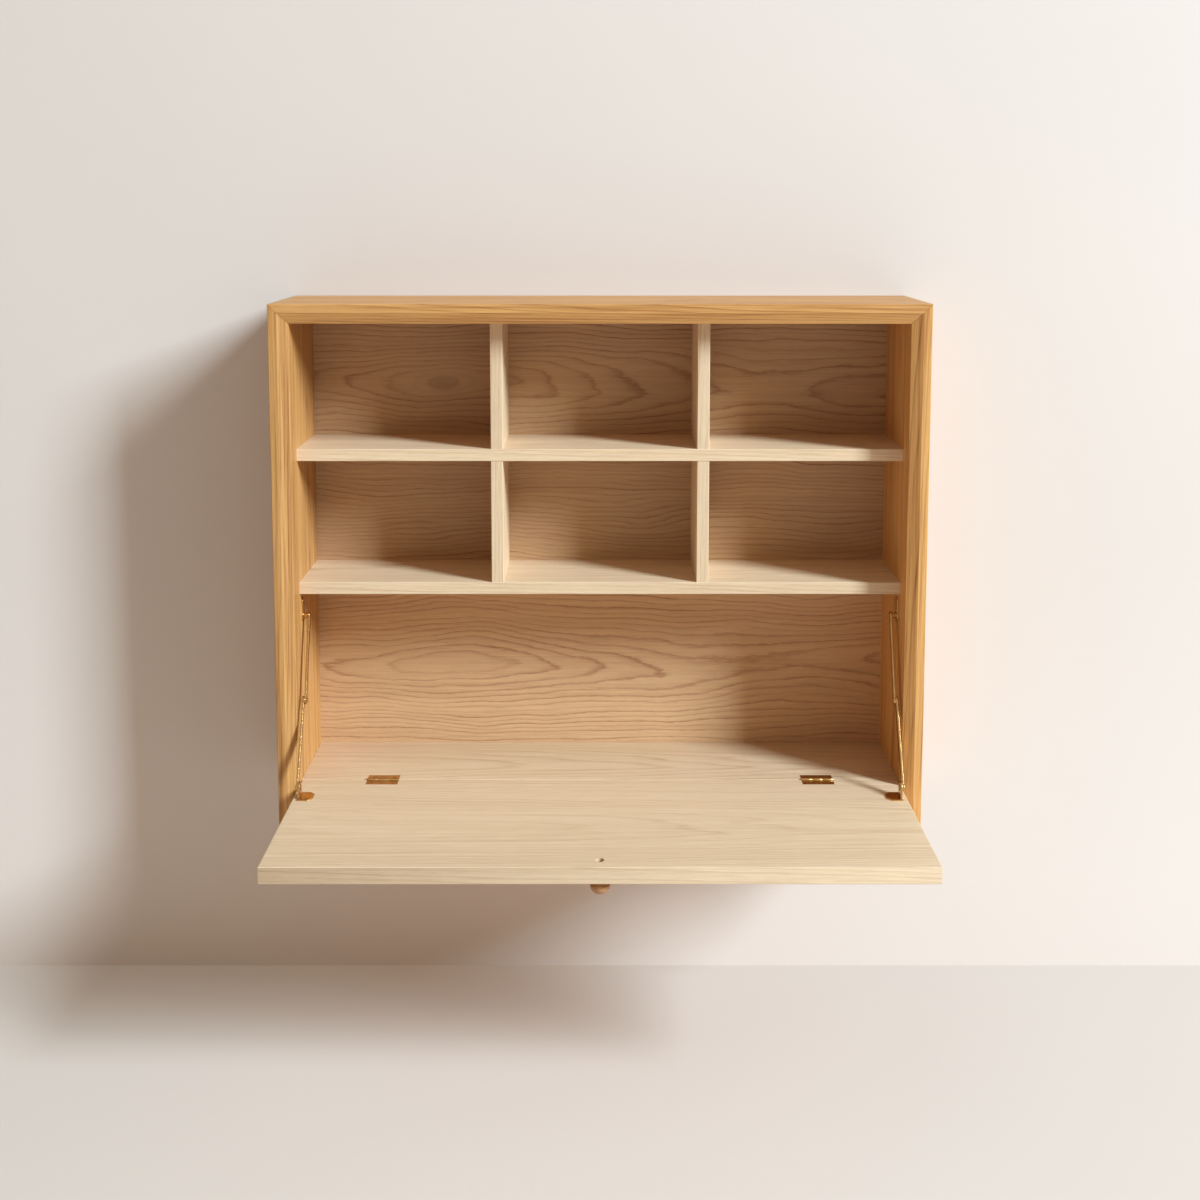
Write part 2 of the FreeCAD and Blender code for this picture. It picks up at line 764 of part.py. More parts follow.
def hinge_leaf(name, side, across, knuckles):
    """Leaf flush with the wood, with its share of the barrel's knuckles.

    across is 1 for the leaf on the desk floor and -1 for the one on the flap."""
    body = new_body(name, x=side * d.hinge_offset, y=HINGE_Y, z=DESK)
    half = d.hinge_length / 2
    clear = d.knuckle_radius + d.knuckle_clearance
    slots = FLOOR_KNUCKLES + FLAP_KNUCKLES
    pitch = d.hinge_length / slots
    play = d.knuckle_clearance / 2
    first = -half + (slots - 2 * knuckles + 1) / 2 * pitch
    plate = new_sketch(body, "XY_Plane")
    edges = sorted((across * clear, across * d.hinge_spread / 2), key=value_of)
    rectangle(plate, -half, half, *edges)
    pad(body, plate, d.leaf_board, -1)
    barrel = new_sketch(body, "YZ_Plane", first + play)
    circle(barrel, 0, 0, d.knuckle_radius)
    knuckle = pad(body, barrel, pitch - 2 * play)
    neck = new_sketch(body, "YZ_Plane", first + play)
    rectangle(neck, *sorted((0, across * clear), key=value_of), -d.leaf_board, 0)
    web = pad(body, neck, pitch - 2 * play)
    if knuckles > 1:
        repeat(body, [knuckle, web], row(body, "X_Axis", 2 * (knuckles - 1) * pitch, knuckles))
    bore = new_sketch(body, "YZ_Plane")
    circle(bore, 0, 0, d.hinge_pin_radius + d.running_fit)
    pocket(body, bore, 2 * d.hinge_length, 0)
    places = [(x, across * d.hinge_screw_line) for x in HINGE_SCREW_STEPS]
    screw_holes(body, "XY_Plane", 0, places, -1)


def hinge_pin(name, side):
    body = new_body(name, x=side * d.hinge_offset, y=HINGE_Y, z=DESK)
    sketch = new_sketch(body, "YZ_Plane")
    circle(sketch, 0, 0, d.hinge_pin_radius)
    pad(body, sketch, d.hinge_length, 0)


# ---------------------------------------------------------------- folding stays


def lobed_bar(length, width, first_radius, last_radius):
    """Outline of a flat bar along +X with a round eye on the origin and another at its length."""
    half = width / 2
    first = root(first_radius * first_radius - half * half)
    last = length - root(last_radius * last_radius - half * half)
    return [
        (first, -half),
        (last, -half, last_radius),
        (length + last_radius, 0, last_radius),
        (last, half),
        (first, half, first_radius),
        (-first_radius, 0, first_radius),
    ]


def side_bracket(name, side):
    """Lobed plate on the case side, standing at the stay's side pivot."""
    body = new_body(name, x=side * INNER_HALF, y=STAY_SIDE_Y, z=STAY_SIDE_Z)
    plate = new_sketch(body, "YZ_Plane")
    lobes = (d.side_plate_lobe_radius, d.side_plate_top_radius)
    upright = [(-p[1], p[0], *p[2:]) for p in lobed_bar(d.side_plate_length, d.side_plate_neck, *lobes)]
    outline(plate, upright)
    pad(body, plate, d.plate_board, -side)
    bore = new_sketch(body, "YZ_Plane")
    circle(bore, 0, 0, d.rivet_radius + d.screw_fit)
    pocket(body, bore, 4 * d.plate_board, 0)
    places = [(0, height) for height in SIDE_SCREW_HEIGHTS]
    screw_holes(body, "YZ_Plane", -side * d.plate_board, places, side)


def side_pin(name, side):
    """Shouldered pin riveted into the side bracket; the upper link turns on its shank."""
    body = new_body(name, x=0, y=STAY_SIDE_Y, z=STAY_SIDE_Z)
    head = UPPER_INNER - d.link_gap
    tip = head - d.rivet_head_drop
    shank = d.rivet_radius
    points = [
        (tip, 0),
        (tip, d.rivet_crown_radius),
        (head, d.rivet_head_radius),
        (head, shank),
        (UPPER_OUTER + d.link_gap, shank),
        (UPPER_OUTER + d.link_gap, d.rivet_head_radius),
        (INNER_HALF - d.plate_board, d.rivet_head_radius),
        (INNER_HALF - d.plate_board, shank),
        (INNER_HALF, shank),
        (INNER_HALF, 0),
    ]
    turned(body, side, points)


def link(name, side, inner, y, z, degrees, end_bores):
    """Flat bar with a round eye at each end, standing at its pivot and leaning by degrees.

    end_bores are the radii of the holes at its own pivot and at the elbow."""
    body = new_body(name, x=side * inner, y=y, z=z)
    bar = new_sketch(body, "YZ_Plane")
    outline(bar, lobed_bar(LINK_LENGTH, d.link_width, d.link_eye_radius, d.link_eye_radius))
    pad(body, bar, d.link_board, side)
    for place, radius in zip((0, LINK_LENGTH), end_bores):
        hole = new_sketch(body, "YZ_Plane")
        circle(hole, place, 0, radius)
        pocket(body, hole, d.link_board, side)
    lean(body, degrees)


def elbow_rivet(name, side, link_face, way):
    """One half of the elbow's rivet: a pan head on the link's outer side, and its shank.

    link_face is the link's face towards the other link; way is 1 if the head is outboard of it."""
    body = new_body(name, x=0, y=ELBOW_Y, z=ELBOW_Z)
    head = link_face + way * d.link_board
    tip = head + way * d.rivet_head_drop
    shank = d.rivet_radius
    points = [
        (tip, 0),
        (tip, d.rivet_crown_radius),
        (head, d.rivet_head_radius),
        (head, shank),
        (link_face, shank),
        (link_face, 0),
    ]
    turned(body, side, points)


def flap_bracket(name, side):
    """Angle bracket on the flap: a foot with clipped corners and a round-topped ear."""
    body = new_body(name, x=side * UPPER_OUTER, y=HINGE_Y - d.stay_front, z=DESK)
    width = d.foot_width
    half = d.foot_length / 2
    clip = half - d.foot_clip
    shoulder = width - d.foot_clip
    foot = new_sketch(body, "XY_Plane")
    corners = [(0, -half), (shoulder, -half), (width, -clip), (width, clip), (shoulder, half), (0, half)]
    outline(foot, [(-side * x, y) for x, y in corners])
    pad(body, foot, d.plate_board)
    ear = new_sketch(body, "YZ_Plane")
    radius = d.ear_radius
    height = d.stay_height
    shoulders = [(radius, height, radius), (0, height + radius, radius), (-radius, height)]
    outline(ear, [(-radius, 0), (radius, 0), *shoulders])
    pad(body, ear, d.ear_board, -side)
    bore = new_sketch(body, "YZ_Plane")
    circle(bore, 0, d.stay_height, d.rivet_radius + d.screw_fit)
    pocket(body, bore, 4 * d.ear_board, 0)
    places = [(-side * d.foot_screw_inset, step * d.foot_screw_pitch) for step in (-0.5, 0.5)]
    screw_holes(body, "XY_Plane", d.plate_board, places, -1)


def flap_rivet(name, side):
    """Rivet of the flap bracket's ear; the lower link turns on its shank."""
    body = new_body(name, x=0, y=HINGE_Y - d.stay_front, z=DESK + d.stay_height)
    head = UPPER_OUTER - d.ear_board
    tail = LOWER_OUTER + d.link_gap
    shank = d.rivet_radius
    points = [
        (head - d.rivet_head_drop, 0),
        (head - d.rivet_head_drop, d.rivet_crown_radius),
        (head, d.rivet_head_radius),
        (head, shank),
        (tail, shank),
        (tail, d.rivet_head_radius),
        (tail + d.rivet_head_drop, d.rivet_crown_radius),
        (tail + d.rivet_head_drop, 0),
    ]
    turned(body, side, points)


def stay(hand, side):
    """One folding stay. The elbow's rivet is in two halves, one in each link."""
    loose = d.rivet_radius + d.running_fit
    tight = d.rivet_radius + d.screw_fit
    side_bracket(f"{hand}_side_bracket", side)
    side_pin(f"{hand}_side_pivot_pin", side)
    link(f"{hand}_upper_link", side, UPPER_INNER, STAY_SIDE_Y, STAY_SIDE_Z, UPPER_LEAN, (loose, tight))
    link(f"{hand}_lower_link", side, LOWER_INNER, FLAP_PIVOT_Y, FLAP_PIVOT_Z, LOWER_LEAN, (loose, tight))
    elbow_rivet(f"{hand}_elbow_rivet", side, LOWER_INNER, 1)
    elbow_rivet(f"{hand}_elbow_rivet_tail", side, UPPER_OUTER, -1)
    flap_bracket(f"{hand}_flap_bracket", side)
    flap_rivet(f"{hand}_flap_pivot_rivet", side)


# ---------------------------------------------------------------- the desk

doc = FreeCAD.newDocument("fold_down_wall_desk")
make_sheet(doc)
bodies = []
d = SimpleNamespace(**{alias: Size(f"Dims.{alias}", value) for alias, value in DRIVING_SIZES.items()})

# Levels, from the wall screws.
CASE_TOP = d.screw_line_drop
CASE_BOTTOM = CASE_TOP - d.case_height
FLOOR_BOARD = d.flap_board + d.flap_under_gap
DESK = CASE_BOTTOM + d.case_board + FLOOR_BOARD
LOWER_SHELF = DESK + d.desk_bay
MIDDLE_FLOOR = LOWER_SHELF + d.shelf_board
UPPER_SHELF = MIDDLE_FLOOR + d.middle_bay
UPPER_FLOOR = UPPER_SHELF + d.shelf_board
UPPER_BAY = CASE_TOP - d.case_board - UPPER_FLOOR

# Distances from the wall, and the case's inner half width.
PANEL_FRONT = d.panel_recess + d.panel_board
SHELF_FRONT = d.case_depth - d.shelf_setback
DIVIDER_FRONT = SHELF_FRONT - d.divider_setback
HINGE_Y = -(d.case_depth - d.flap_setback)
INNER_HALF = d.case_width / 2 - d.case_board
KNOB_Y = HINGE_Y - (d.flap_reach - d.knob_setback)

# Stay: the planes of its links, its two fixed pivots, and the elbow between them.
LOWER_OUTER = INNER_HALF - d.stay_side_gap
LOWER_INNER = LOWER_OUTER - d.link_board
UPPER_OUTER = LOWER_INNER - d.link_gap
UPPER_INNER = UPPER_OUTER - d.link_board
STAY_SIDE_Y = HINGE_Y + d.stay_back
STAY_SIDE_Z = LOWER_SHELF - d.stay_drop
FLAP_PIVOT_Y = HINGE_Y - d.stay_front
FLAP_PIVOT_Z = DESK + d.stay_height
STAY_RUN = STAY_SIDE_Y - FLAP_PIVOT_Y
STAY_RISE = STAY_SIDE_Z - FLAP_PIVOT_Z
STAY_SPAN = root(STAY_RUN * STAY_RUN + STAY_RISE * STAY_RISE)
LINK_LENGTH = root(STAY_SPAN * STAY_SPAN / 4 + d.stay_bend * d.stay_bend)
ELBOW_Y = (STAY_SIDE_Y + FLAP_PIVOT_Y) / 2 + d.stay_bend * STAY_RISE / STAY_SPAN
ELBOW_Z = (STAY_SIDE_Z + FLAP_PIVOT_Z) / 2 - d.stay_bend * STAY_RUN / STAY_SPAN
UPPER_LEAN = turn(ELBOW_Z - STAY_SIDE_Z, ELBOW_Y - STAY_SIDE_Y)
LOWER_LEAN = turn(ELBOW_Z - FLAP_PIVOT_Z, ELBOW_Y - FLAP_PIVOT_Y)
SIDE_SCREW_HEIGHTS = (d.side_screw_first, d.side_screw_first + d.side_screw_pitch)
FOOT_SCREW_X = UPPER_OUTER - d.foot_screw_inset
HINGE_SCREW_STEPS = [(k - (HINGE_SCREWS - 1) / 2) * d.hinge_screw_pitch for k in range(HINGE_SCREWS)]
SCREW_CONE = d.screw_head_radius - d.screw_radius

case_top()
case_rail("case_bottom", -1)
for hand, side in SIDES.items():
    case_side(f"case_{hand}_side", side)
mitre_splines()
back_panel()
hanging_cleat()
wall_cleat()
shelf("upper_shelf", UPPER_SHELF, True)
shelf("lower_shelf", LOWER_SHELF, False)
for hand, side in SIDES.items():
    divider(f"upper_{hand}_divider", side, UPPER_FLOOR, UPPER_BAY)
    divider(f"middle_{hand}_divider", side, MIDDLE_FLOOR, d.middle_bay)
desk_floor()
flap_board()
knob()
knob_screw()
for hand, side in SIDES.items():
    hinge_leaf(f"{hand}_hinge_floor_leaf", side, 1, FLOOR_KNUCKLES)
    hinge_leaf(f"{hand}_hinge_flap_leaf", side, -1, FLAP_KNUCKLES)
    hinge_pin(f"{hand}_hinge_pin", side)
hinge_screws("hinge_floor_screws", 1)
hinge_screws("hinge_flap_screws", -1)
for hand, side in SIDES.items():
    stay(hand, side)
side_screws()
foot_screws()

doc.recompute()
for item in doc.Objects:
    if any(flag in ("Invalid", "Error") for flag in item.State):
        raise ValueError(f"{item.Name} is {item.State}")
for body in bodies:
    if body.Shape.isNull() or not body.Shape.isValid():
        raise ValueError(f"{body.Label} has no valid shape")

os.makedirs("parts", exist_ok=True)
for body in bodies:
    body.Shape.exportStep(f"parts/{body.Label}.step")
    print(f"{body.Label}: {len(body.Shape.Solids)} solid(s), {body.Shape.Volume / 1000:.2f} cm3")
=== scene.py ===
import json
import math

import bmesh
import bpy
import numpy as np
from bpy.props import FloatProperty, FloatVectorProperty, PointerProperty
from bpy.types import Operator, Panel, PropertyGroup
from mathutils import Euler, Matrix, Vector

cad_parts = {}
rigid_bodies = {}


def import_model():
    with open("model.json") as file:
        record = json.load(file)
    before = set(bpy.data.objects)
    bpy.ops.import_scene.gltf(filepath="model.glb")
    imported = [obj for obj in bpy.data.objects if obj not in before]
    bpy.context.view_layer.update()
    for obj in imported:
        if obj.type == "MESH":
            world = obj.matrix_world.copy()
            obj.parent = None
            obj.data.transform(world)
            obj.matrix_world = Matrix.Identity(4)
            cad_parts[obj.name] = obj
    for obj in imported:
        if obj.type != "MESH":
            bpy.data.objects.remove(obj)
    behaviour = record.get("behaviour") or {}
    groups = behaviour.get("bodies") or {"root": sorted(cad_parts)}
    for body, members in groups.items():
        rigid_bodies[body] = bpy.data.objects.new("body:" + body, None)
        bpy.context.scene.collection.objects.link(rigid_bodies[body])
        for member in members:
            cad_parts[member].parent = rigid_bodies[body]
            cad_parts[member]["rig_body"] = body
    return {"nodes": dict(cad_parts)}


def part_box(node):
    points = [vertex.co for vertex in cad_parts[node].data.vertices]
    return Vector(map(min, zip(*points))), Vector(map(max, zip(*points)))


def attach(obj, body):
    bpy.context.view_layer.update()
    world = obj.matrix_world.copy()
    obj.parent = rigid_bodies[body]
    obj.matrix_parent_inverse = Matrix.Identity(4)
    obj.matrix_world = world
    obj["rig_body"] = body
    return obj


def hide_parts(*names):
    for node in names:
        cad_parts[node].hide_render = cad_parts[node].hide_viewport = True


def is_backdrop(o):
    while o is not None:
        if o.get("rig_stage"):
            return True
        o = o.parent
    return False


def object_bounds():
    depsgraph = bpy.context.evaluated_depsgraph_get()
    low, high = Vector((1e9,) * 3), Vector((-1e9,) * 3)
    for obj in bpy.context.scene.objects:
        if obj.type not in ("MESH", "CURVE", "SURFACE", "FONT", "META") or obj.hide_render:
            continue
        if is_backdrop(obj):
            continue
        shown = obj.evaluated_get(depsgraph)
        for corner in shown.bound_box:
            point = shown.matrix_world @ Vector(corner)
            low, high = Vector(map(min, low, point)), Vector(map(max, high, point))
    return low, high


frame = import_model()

bl_info = {
    "name": "Fold down wall desk",
    "version": (1, 0, 0),
    "blender": (4, 5, 0),
    "location": "3D View > Sidebar > Desk",
    "description": "Wood, brass and turned pieces of a wall desk with a fold down flap",
    "category": "Object",
}

MM = 0.001
NODE_BODY = {node.name: node["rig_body"] for node in frame["nodes"].values()}

# Edges that turn more than SHARP are shaded as edges and rounded, and faces within FLAT are in one plane.
SHARP = math.radians(25)
FLAT = math.radians(0.3)

# How a board's grain lies: the turn that brings the grain to X and the board's face to Z.
ALONG_X = (0, 0, 0)
UPRIGHT = (0, math.radians(90), 0)
FACING_ROOM = (math.radians(-90), 0, 0)


def srgb(red, green, blue):
    """Linear colour of an 8-bit screen colour."""
    levels = np.array([red, green, blue]) / 255
    return tuple(np.where(levels < 0.04045, levels / 12.92, ((levels + 0.055) / 1.055) ** 2.4))


def colour(name, description, default):
    """Setting for a colour, given as linear red, green and blue."""
    return FloatVectorProperty(name=name, description=description, default=default, subtype="COLOR",
                               min=0, max=1)


def length(name, description, default):
    """Setting for a length in metres."""
    return FloatProperty(name=name, description=description, default=default, unit="LENGTH", precision=5)


def plain(name, description, default, **limits):
    """Setting for a number without a unit, or with the one that limits names."""
    return FloatProperty(name=name, description=description, default=default, **limits)


# ---------------------------------------------------------------- settings


class WoodSettings(PropertyGroup):
    """Colours, rings and edges of the desk's wood"""

    case_early: colour("Case wood", "Earlywood of the case boards", srgb(219, 161, 95))
    case_late: colour("Case grain", "Latewood lines of the case boards", srgb(138, 76, 27))
    shelf_early: colour("Shelf wood", "Earlywood of the shelves, floor and flap", srgb(221, 191, 155))
    shelf_late: colour("Shelf grain", "Latewood lines of the shelves and flap", srgb(170, 123, 79))
    panel_early: colour("Panel wood", "Earlywood of the back panel", srgb(206, 165, 122))
    panel_late: colour("Panel grain", "Latewood lines of the back panel", srgb(134, 73, 38))
    knob_early: colour("Knob wood", "Earlywood of the knob", srgb(183, 135, 91))
    knob_late: colour("Knob grain", "Latewood lines of the knob", srgb(140, 88, 48))
    case_ring: length("Case ring", "Width of a growth ring in the case boards", 4.5 * MM)
    shelf_ring: length("Shelf ring", "Width of a growth ring in the pale boards", 5 * MM)
    panel_ring: length("Panel ring", "Width of a growth ring on the back panel", 7.5 * MM)
    arris: length("Arris", "Rounding of the boards' sharp edges", 0.5 * MM)


class BrassSettings(PropertyGroup):
    """Colours, finish and small sizes of the desk's brass"""

    bright: colour("Brass", "Clean brass", srgb(208, 167, 105))
    tarnish: colour("Tarnish", "Brass that has dulled", srgb(158, 115, 58))
    roughness: plain("Roughness", "How dull the brass is", 0.22, min=0, max=1)
    arris: length("Arris", "Rounding of the plates' edges", 0.25 * MM)
    slot_width: length("Slot width", "Width of the screws' driving slots", 0.8 * MM)
    slot_depth: length("Slot depth", "Depth of the screws' driving slots", 0.6 * MM)
    head_rise: length("Head rise", "How far a screw's head domes above its plate", 0.35 * MM)
    rivet_shank: length("Rivet shank", "Radius of the stays' rivets", 2.5 * MM)
    rivet_head: length("Rivet head", "Height of a rivet's head", 1.8 * MM)
    rivet_rim: length("Rivet rim", "Height of the straight rim under a rivet's dome", 0.25 * MM)
    collar_start: length("Pin collar", "From the crown of a side pivot's pin to its collar", 5.4 * MM)
    plate: length("Bracket plate", "Thickness of a side bracket", 2 * MM)


class StageSettings(PropertyGroup):
    """The room, its light and the camera"""

    wall: colour("Wall", "Colour of the wall", srgb(221, 205, 192))
    floor: colour("Floor", "Colour of the floor", srgb(219, 202, 188))
    floor_level: length("Floor level", "Height of the floor", -1048 * MM)
    backdrop: colour("Backdrop", "Colour seen beyond the wall and floor", srgb(217, 206, 197))
    fill: colour("Fill", "Colour of the light from the sides and above", (0.655, 0.60, 0.52))
    front_fill: colour("Front fill", "Colour of the light from straight in front", (0.08, 0.055, 0.035))
    key: colour("Key", "Colour of the main lamp", (0.72, 0.912, 1.08))
    key_power: plain("Key power", "Power of the main lamp", 2600, unit="POWER")
    key_width: length("Key width", "Width of the main lamp", 2.2)
    key_height: length("Key height", "Height of the main lamp", 4.5)
    key_distance: length("Key distance", "From the desk to the main lamp", 12)
    camera_back: length("Camera distance", "From the wall to the camera", 2390.5 * MM)
    camera_height: length("Camera height", "From the wall screws up to the camera", 257.8 * MM)
    camera_tilt: plain("Camera tilt", "Camera's tilt below level", math.radians(6.05), subtype="ANGLE")
    camera_lens: plain("Lens", "Focal length in millimetres on a sensor 36 mm wide", 43.65)
    camera_shift: plain("Shift", "Rise of the lens, in widths of the picture", -0.2)


# ---------------------------------------------------------------- shader nodes


class Shader:
    """The node tree of a material or a world, with short ways to add nodes and join them."""

    def __init__(self, owner):
        owner.use_nodes = True
        self.owner = owner
        self.tree = owner.node_tree
        self.tree.nodes.clear()

    def join(self, socket, value):
        """The socket takes the value, or the output that value is."""
        if isinstance(value, bpy.types.NodeSocket):
            self.tree.links.new(value, socket)
        else:
            socket.default_value = value

    def add(self, kind, inputs=None, **settings):
        """New node: settings are its own, inputs its sockets' values or the sockets they come from."""
        node = self.tree.nodes.new(f"ShaderNode{kind}")
        for name, value in settings.items():
            setattr(node, name, value)
        for name, value in (inputs or {}).items():
            self.join(node.inputs[name], value)
        return node

    def math(self, operation, *values):
        """Number worked out from numbers, each a value or an output."""
        return self.add("Math", dict(enumerate(values)), operation=operation).outputs[0]

    def vector(self, operation, first, second):
        """Vector worked out from two vectors."""
        return self.add("VectorMath", {0: first, 1: second}, operation=operation).outputs[0]

    def distance(self, place, centre, stretch):
        """Length of (place - centre) after each of its axes is multiplied by its own stretch."""
        apart = self.vector("MULTIPLY", self.vector("SUBTRACT", place, centre), stretch)
        return self.add("VectorMath", {0: apart}, operation="LENGTH").outputs["Value"]

    def object_place(self):
        """The point in the desk's own axes."""
        return self.add("TexCoord").outputs["Object"]

    def axes(self, place):
        """X, Y and Z of a vector."""
        return self.add("SeparateXYZ", {0: place}).outputs

    def noise(self, place, stretch, detail=2.0, roughness=0.5):
        """Smooth noise from 0 to 1; stretch is how many of its cells lie in a metre each way."""
        scaled = self.vector("MULTIPLY", place, stretch)
        inputs = {"Vector": scaled, "Scale": 1.0, "Detail": detail, "Roughness": roughness}
        return self.add("TexNoise", inputs).outputs["Fac"]

    def ramp(self, factor, stops):
        """Straight lines between stops, each a value of the factor and the level there."""
        node = self.add("ValToRGB", {"Fac": factor})
        elements = node.color_ramp.elements
        while len(elements) < len(stops):
            elements.new(1.0)
        for element, (position, level) in zip(elements, stops):
            element.position = position
            element.color = (level, level, level, 1)
        return node.outputs[0]

    def blend(self, factor, first, second):
        """Mix of two colours, all the first at 0 and all the second at 1."""
        node = self.add("Mix", data_type="RGBA")
        sockets = {socket.identifier: socket for socket in node.inputs}
        self.join(sockets["Factor_Float"], factor)
        for name, shade in (("A_Color", first), ("B_Color", second)):
            self.join(sockets[name], shade if isinstance(shade, bpy.types.NodeSocket) else (*shade, 1))
        return next(socket for socket in node.outputs if socket.identifier == "Result_Color")

    def bump(self, height, distance, strength):
        """Normal of a surface whose relief is the height times the distance."""
        inputs = {"Height": height, "Distance": distance, "Strength": strength}
        return self.add("Bump", inputs).outputs[0]

    def principled(self, inputs):
        """Light that a surface gives back, by its colour, roughness, relief and the like."""
        return self.add("BsdfPrincipled", inputs).outputs[0]

    def finish(self, surface):
        """Joins the surface to the output; gives the material or world."""
        kind = "OutputWorld" if isinstance(self.owner, bpy.types.World) else "OutputMaterial"
        self.add(kind, {"Surface": surface})
        return self.owner


# ---------------------------------------------------------------- wood


def grain_place(shader, node, turn, heart):
    """Coordinates in the log that a board was sawn from: X runs along the grain, and the log's
    heart is the X axis. heart places the middle of the board in them."""
    low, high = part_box(node)
    rotation = Euler(turn)
    middle = (low + high) / 2
    middle.rotate(rotation)
    inputs = {"Vector": shader.object_place(), "Location": Vector(heart) - middle, "Rotation": rotation}
    return shader.add("Mapping", inputs).outputs[0]


# Waves that bunch and spread a board's rings: how many cells of noise lie in a metre along the grain,
# across it and in depth, and how many rings the noise adds. TAPER is how fast the log widens.
RING_WAVES = (((1.6, 8, 8), 4.0), ((1.3, 26, 26), 2.6), ((7, 70, 70), 0.5))
TAPER = 0.02


def waved(shader, place, count, waves):
    """The count plus each wave's noise times its number of rings."""
    for stretch, rings in waves:
        count = shader.math("MULTIPLY_ADD", shader.noise(place, stretch, detail=1.5), rings, count)
    return count


def ring_count(shader, place, ring):
    """Growth rings between the heart and a point: its distance from a tapering heart line over the
    width of a ring, plus slow, middling and quick waves."""
    axes = shader.axes(place)
    across = shader.math("MULTIPLY", axes[1], axes[1])
    deep = shader.math("MULTIPLY", axes[2], axes[2])
    distance = shader.math("SQRT", shader.math("ADD", across, deep))
    tapered = shader.math("MULTIPLY_ADD", axes[0], TAPER, distance)
    return waved(shader, place, shader.math("DIVIDE", tapered, ring), RING_WAVES)


# The back panel's two level heart lines (heights), how far they sway up and down, the places along
# them of two eyes, how deep the heart lies below an eye, and how far it sinks between eyes as a share
# of the way.
PANEL_HEARTS = (-0.035, -0.5065)
PANEL_SWAY = 0.06
PANEL_EYES = (-0.252, 0.800)
PANEL_DEPTH = 0.030
PANEL_SINK = 0.17
PANEL_WAVES = (((5, 16, 16), 1.7), ((19, 60, 60), 0.5), ((45, 210, 210), 0.24), ((90, 600, 600), 0.2))

# The knot in the upper left pigeonhole: its middle, one over the size of its rings and of its stain
# (in metres, along and across), and how many rings it stands out by.
PANEL_KNOT = (-0.257, -0.0325, 0)
KNOT_RINGS = (26, 55, 0)
KNOT_STAIN = (30, 62, 0)
KNOT_RISE = 1.7


def panel_ring_count(shader, place, ring):
    """Rings of the slash-sawn panel. Its boards' hearts run level behind two lines, and each dips
    towards the surface at evenly spaced eyes, so the count is the length of (height from the nearer
    heart line, depth at an eye, a sine wave of the way between eyes) over a ring's width, less a
    bell curve of the distance from the knot, plus waves."""
    sway = shader.noise(place, (3.2, 7, 7), detail=2)
    axes = shader.axes(place)
    height = shader.math("MULTIPLY_ADD", shader.math("SUBTRACT", sway, 0.5), PANEL_SWAY, axes[1])
    half = (PANEL_HEARTS[0] - PANEL_HEARTS[1]) / 2
    height = shader.math("PINGPONG", shader.math("SUBTRACT", height, PANEL_HEARTS[0]), half)
    apart = (PANEL_EYES[1] - PANEL_EYES[0]) / math.pi
    along = shader.math("DIVIDE", shader.math("SUBTRACT", axes[0], PANEL_EYES[0]), apart)
    along = shader.math("MULTIPLY", shader.math("SINE", along), apart * PANEL_SINK)
    squares = shader.math("MULTIPLY_ADD", height, height, PANEL_DEPTH * PANEL_DEPTH)
    squares = shader.math("MULTIPLY_ADD", along, along, squares)
    count = shader.math("DIVIDE", shader.math("SQRT", squares), ring)
    away = shader.math("POWER", shader.distance(place, PANEL_KNOT, KNOT_RINGS), 2.0)
    bell = shader.math("POWER", math.e, shader.math("MULTIPLY", away, -1.0))
    count = shader.math("MULTIPLY_ADD", bell, -KNOT_RISE, count)
    return waved(shader, place, count, PANEL_WAVES)


# Width of the glue line in the case's mitres, and how much a full stain, glue line or painted
# shade darkens wood.
GLUE_WIDTH = 0.7 * MM
STAIN_AND_SHADE_DEPTH = 0.6


def mitre_line(shader):
    """Shows the glue line of the case's mitres: 1 on the planes where a point is as far from the
    case's side as from its top or bottom, falling to 0 a glue line's width away."""
    low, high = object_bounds()
    axes = shader.axes(shader.object_place())
    middle = (low[2] + high[2]) / 2
    side = shader.math("SUBTRACT", (high[0] - low[0]) / 2, shader.math("ABSOLUTE", axes[0]))
    rise = shader.math("ABSOLUTE", shader.math("SUBTRACT", axes[2], middle))
    level = shader.math("SUBTRACT", (high[2] - low[2]) / 2, rise)
    apart = shader.math("ABSOLUTE", shader.math("SUBTRACT", side, level))
    return shader.math("SUBTRACT", 1.0, shader.math("MINIMUM", shader.math("DIVIDE", apart, GLUE_WIDTH), 1.0))


# How dark a ring is from its inner to its outer edge, and how strong its line is by how far out it
# lies, where 1 is OLD_RINGS rings from the heart.
RING_LINE = [(0, 0.25), (0.1, 0.0), (0.5, 0.04), (0.74, 0.26), (0.9, 1.0), (0.95, 0.9), (1.0, 0.25)]
YOUNG_LINES = [(0, 0.4), (0.22, 0.45), (0.42, 1), (1, 1)]
OLD_RINGS = 20.0

# Textures of planed wood: cells of noise in a metre along the grain, across it and in depth, then the
# noise's detail and roughness.
PATCHES = ((5, 30, 30), 3, 0.5)
BROAD_STREAKS = ((1.4, 70, 70), 2, 0.5)
NARROW_STREAKS = ((4, 300, 300), 3, 0.65)
SHORT_STREAKS = ((22, 520, 520), 2, 0.6)
FIBRES = ((30, 1300, 1300), 3, 0.6)
TONE = ((1.1, 6, 6), 1, 0.5)
PORES = ((40, 1500, 1500), 1, 0.5)
PORES_SHOW = [(0, 0), (0.60, 0), (0.72, 1), (1, 1)]
BANDS_SHOW = [(0, 0), (0.38, 0), (0.68, 1), (1, 1)]

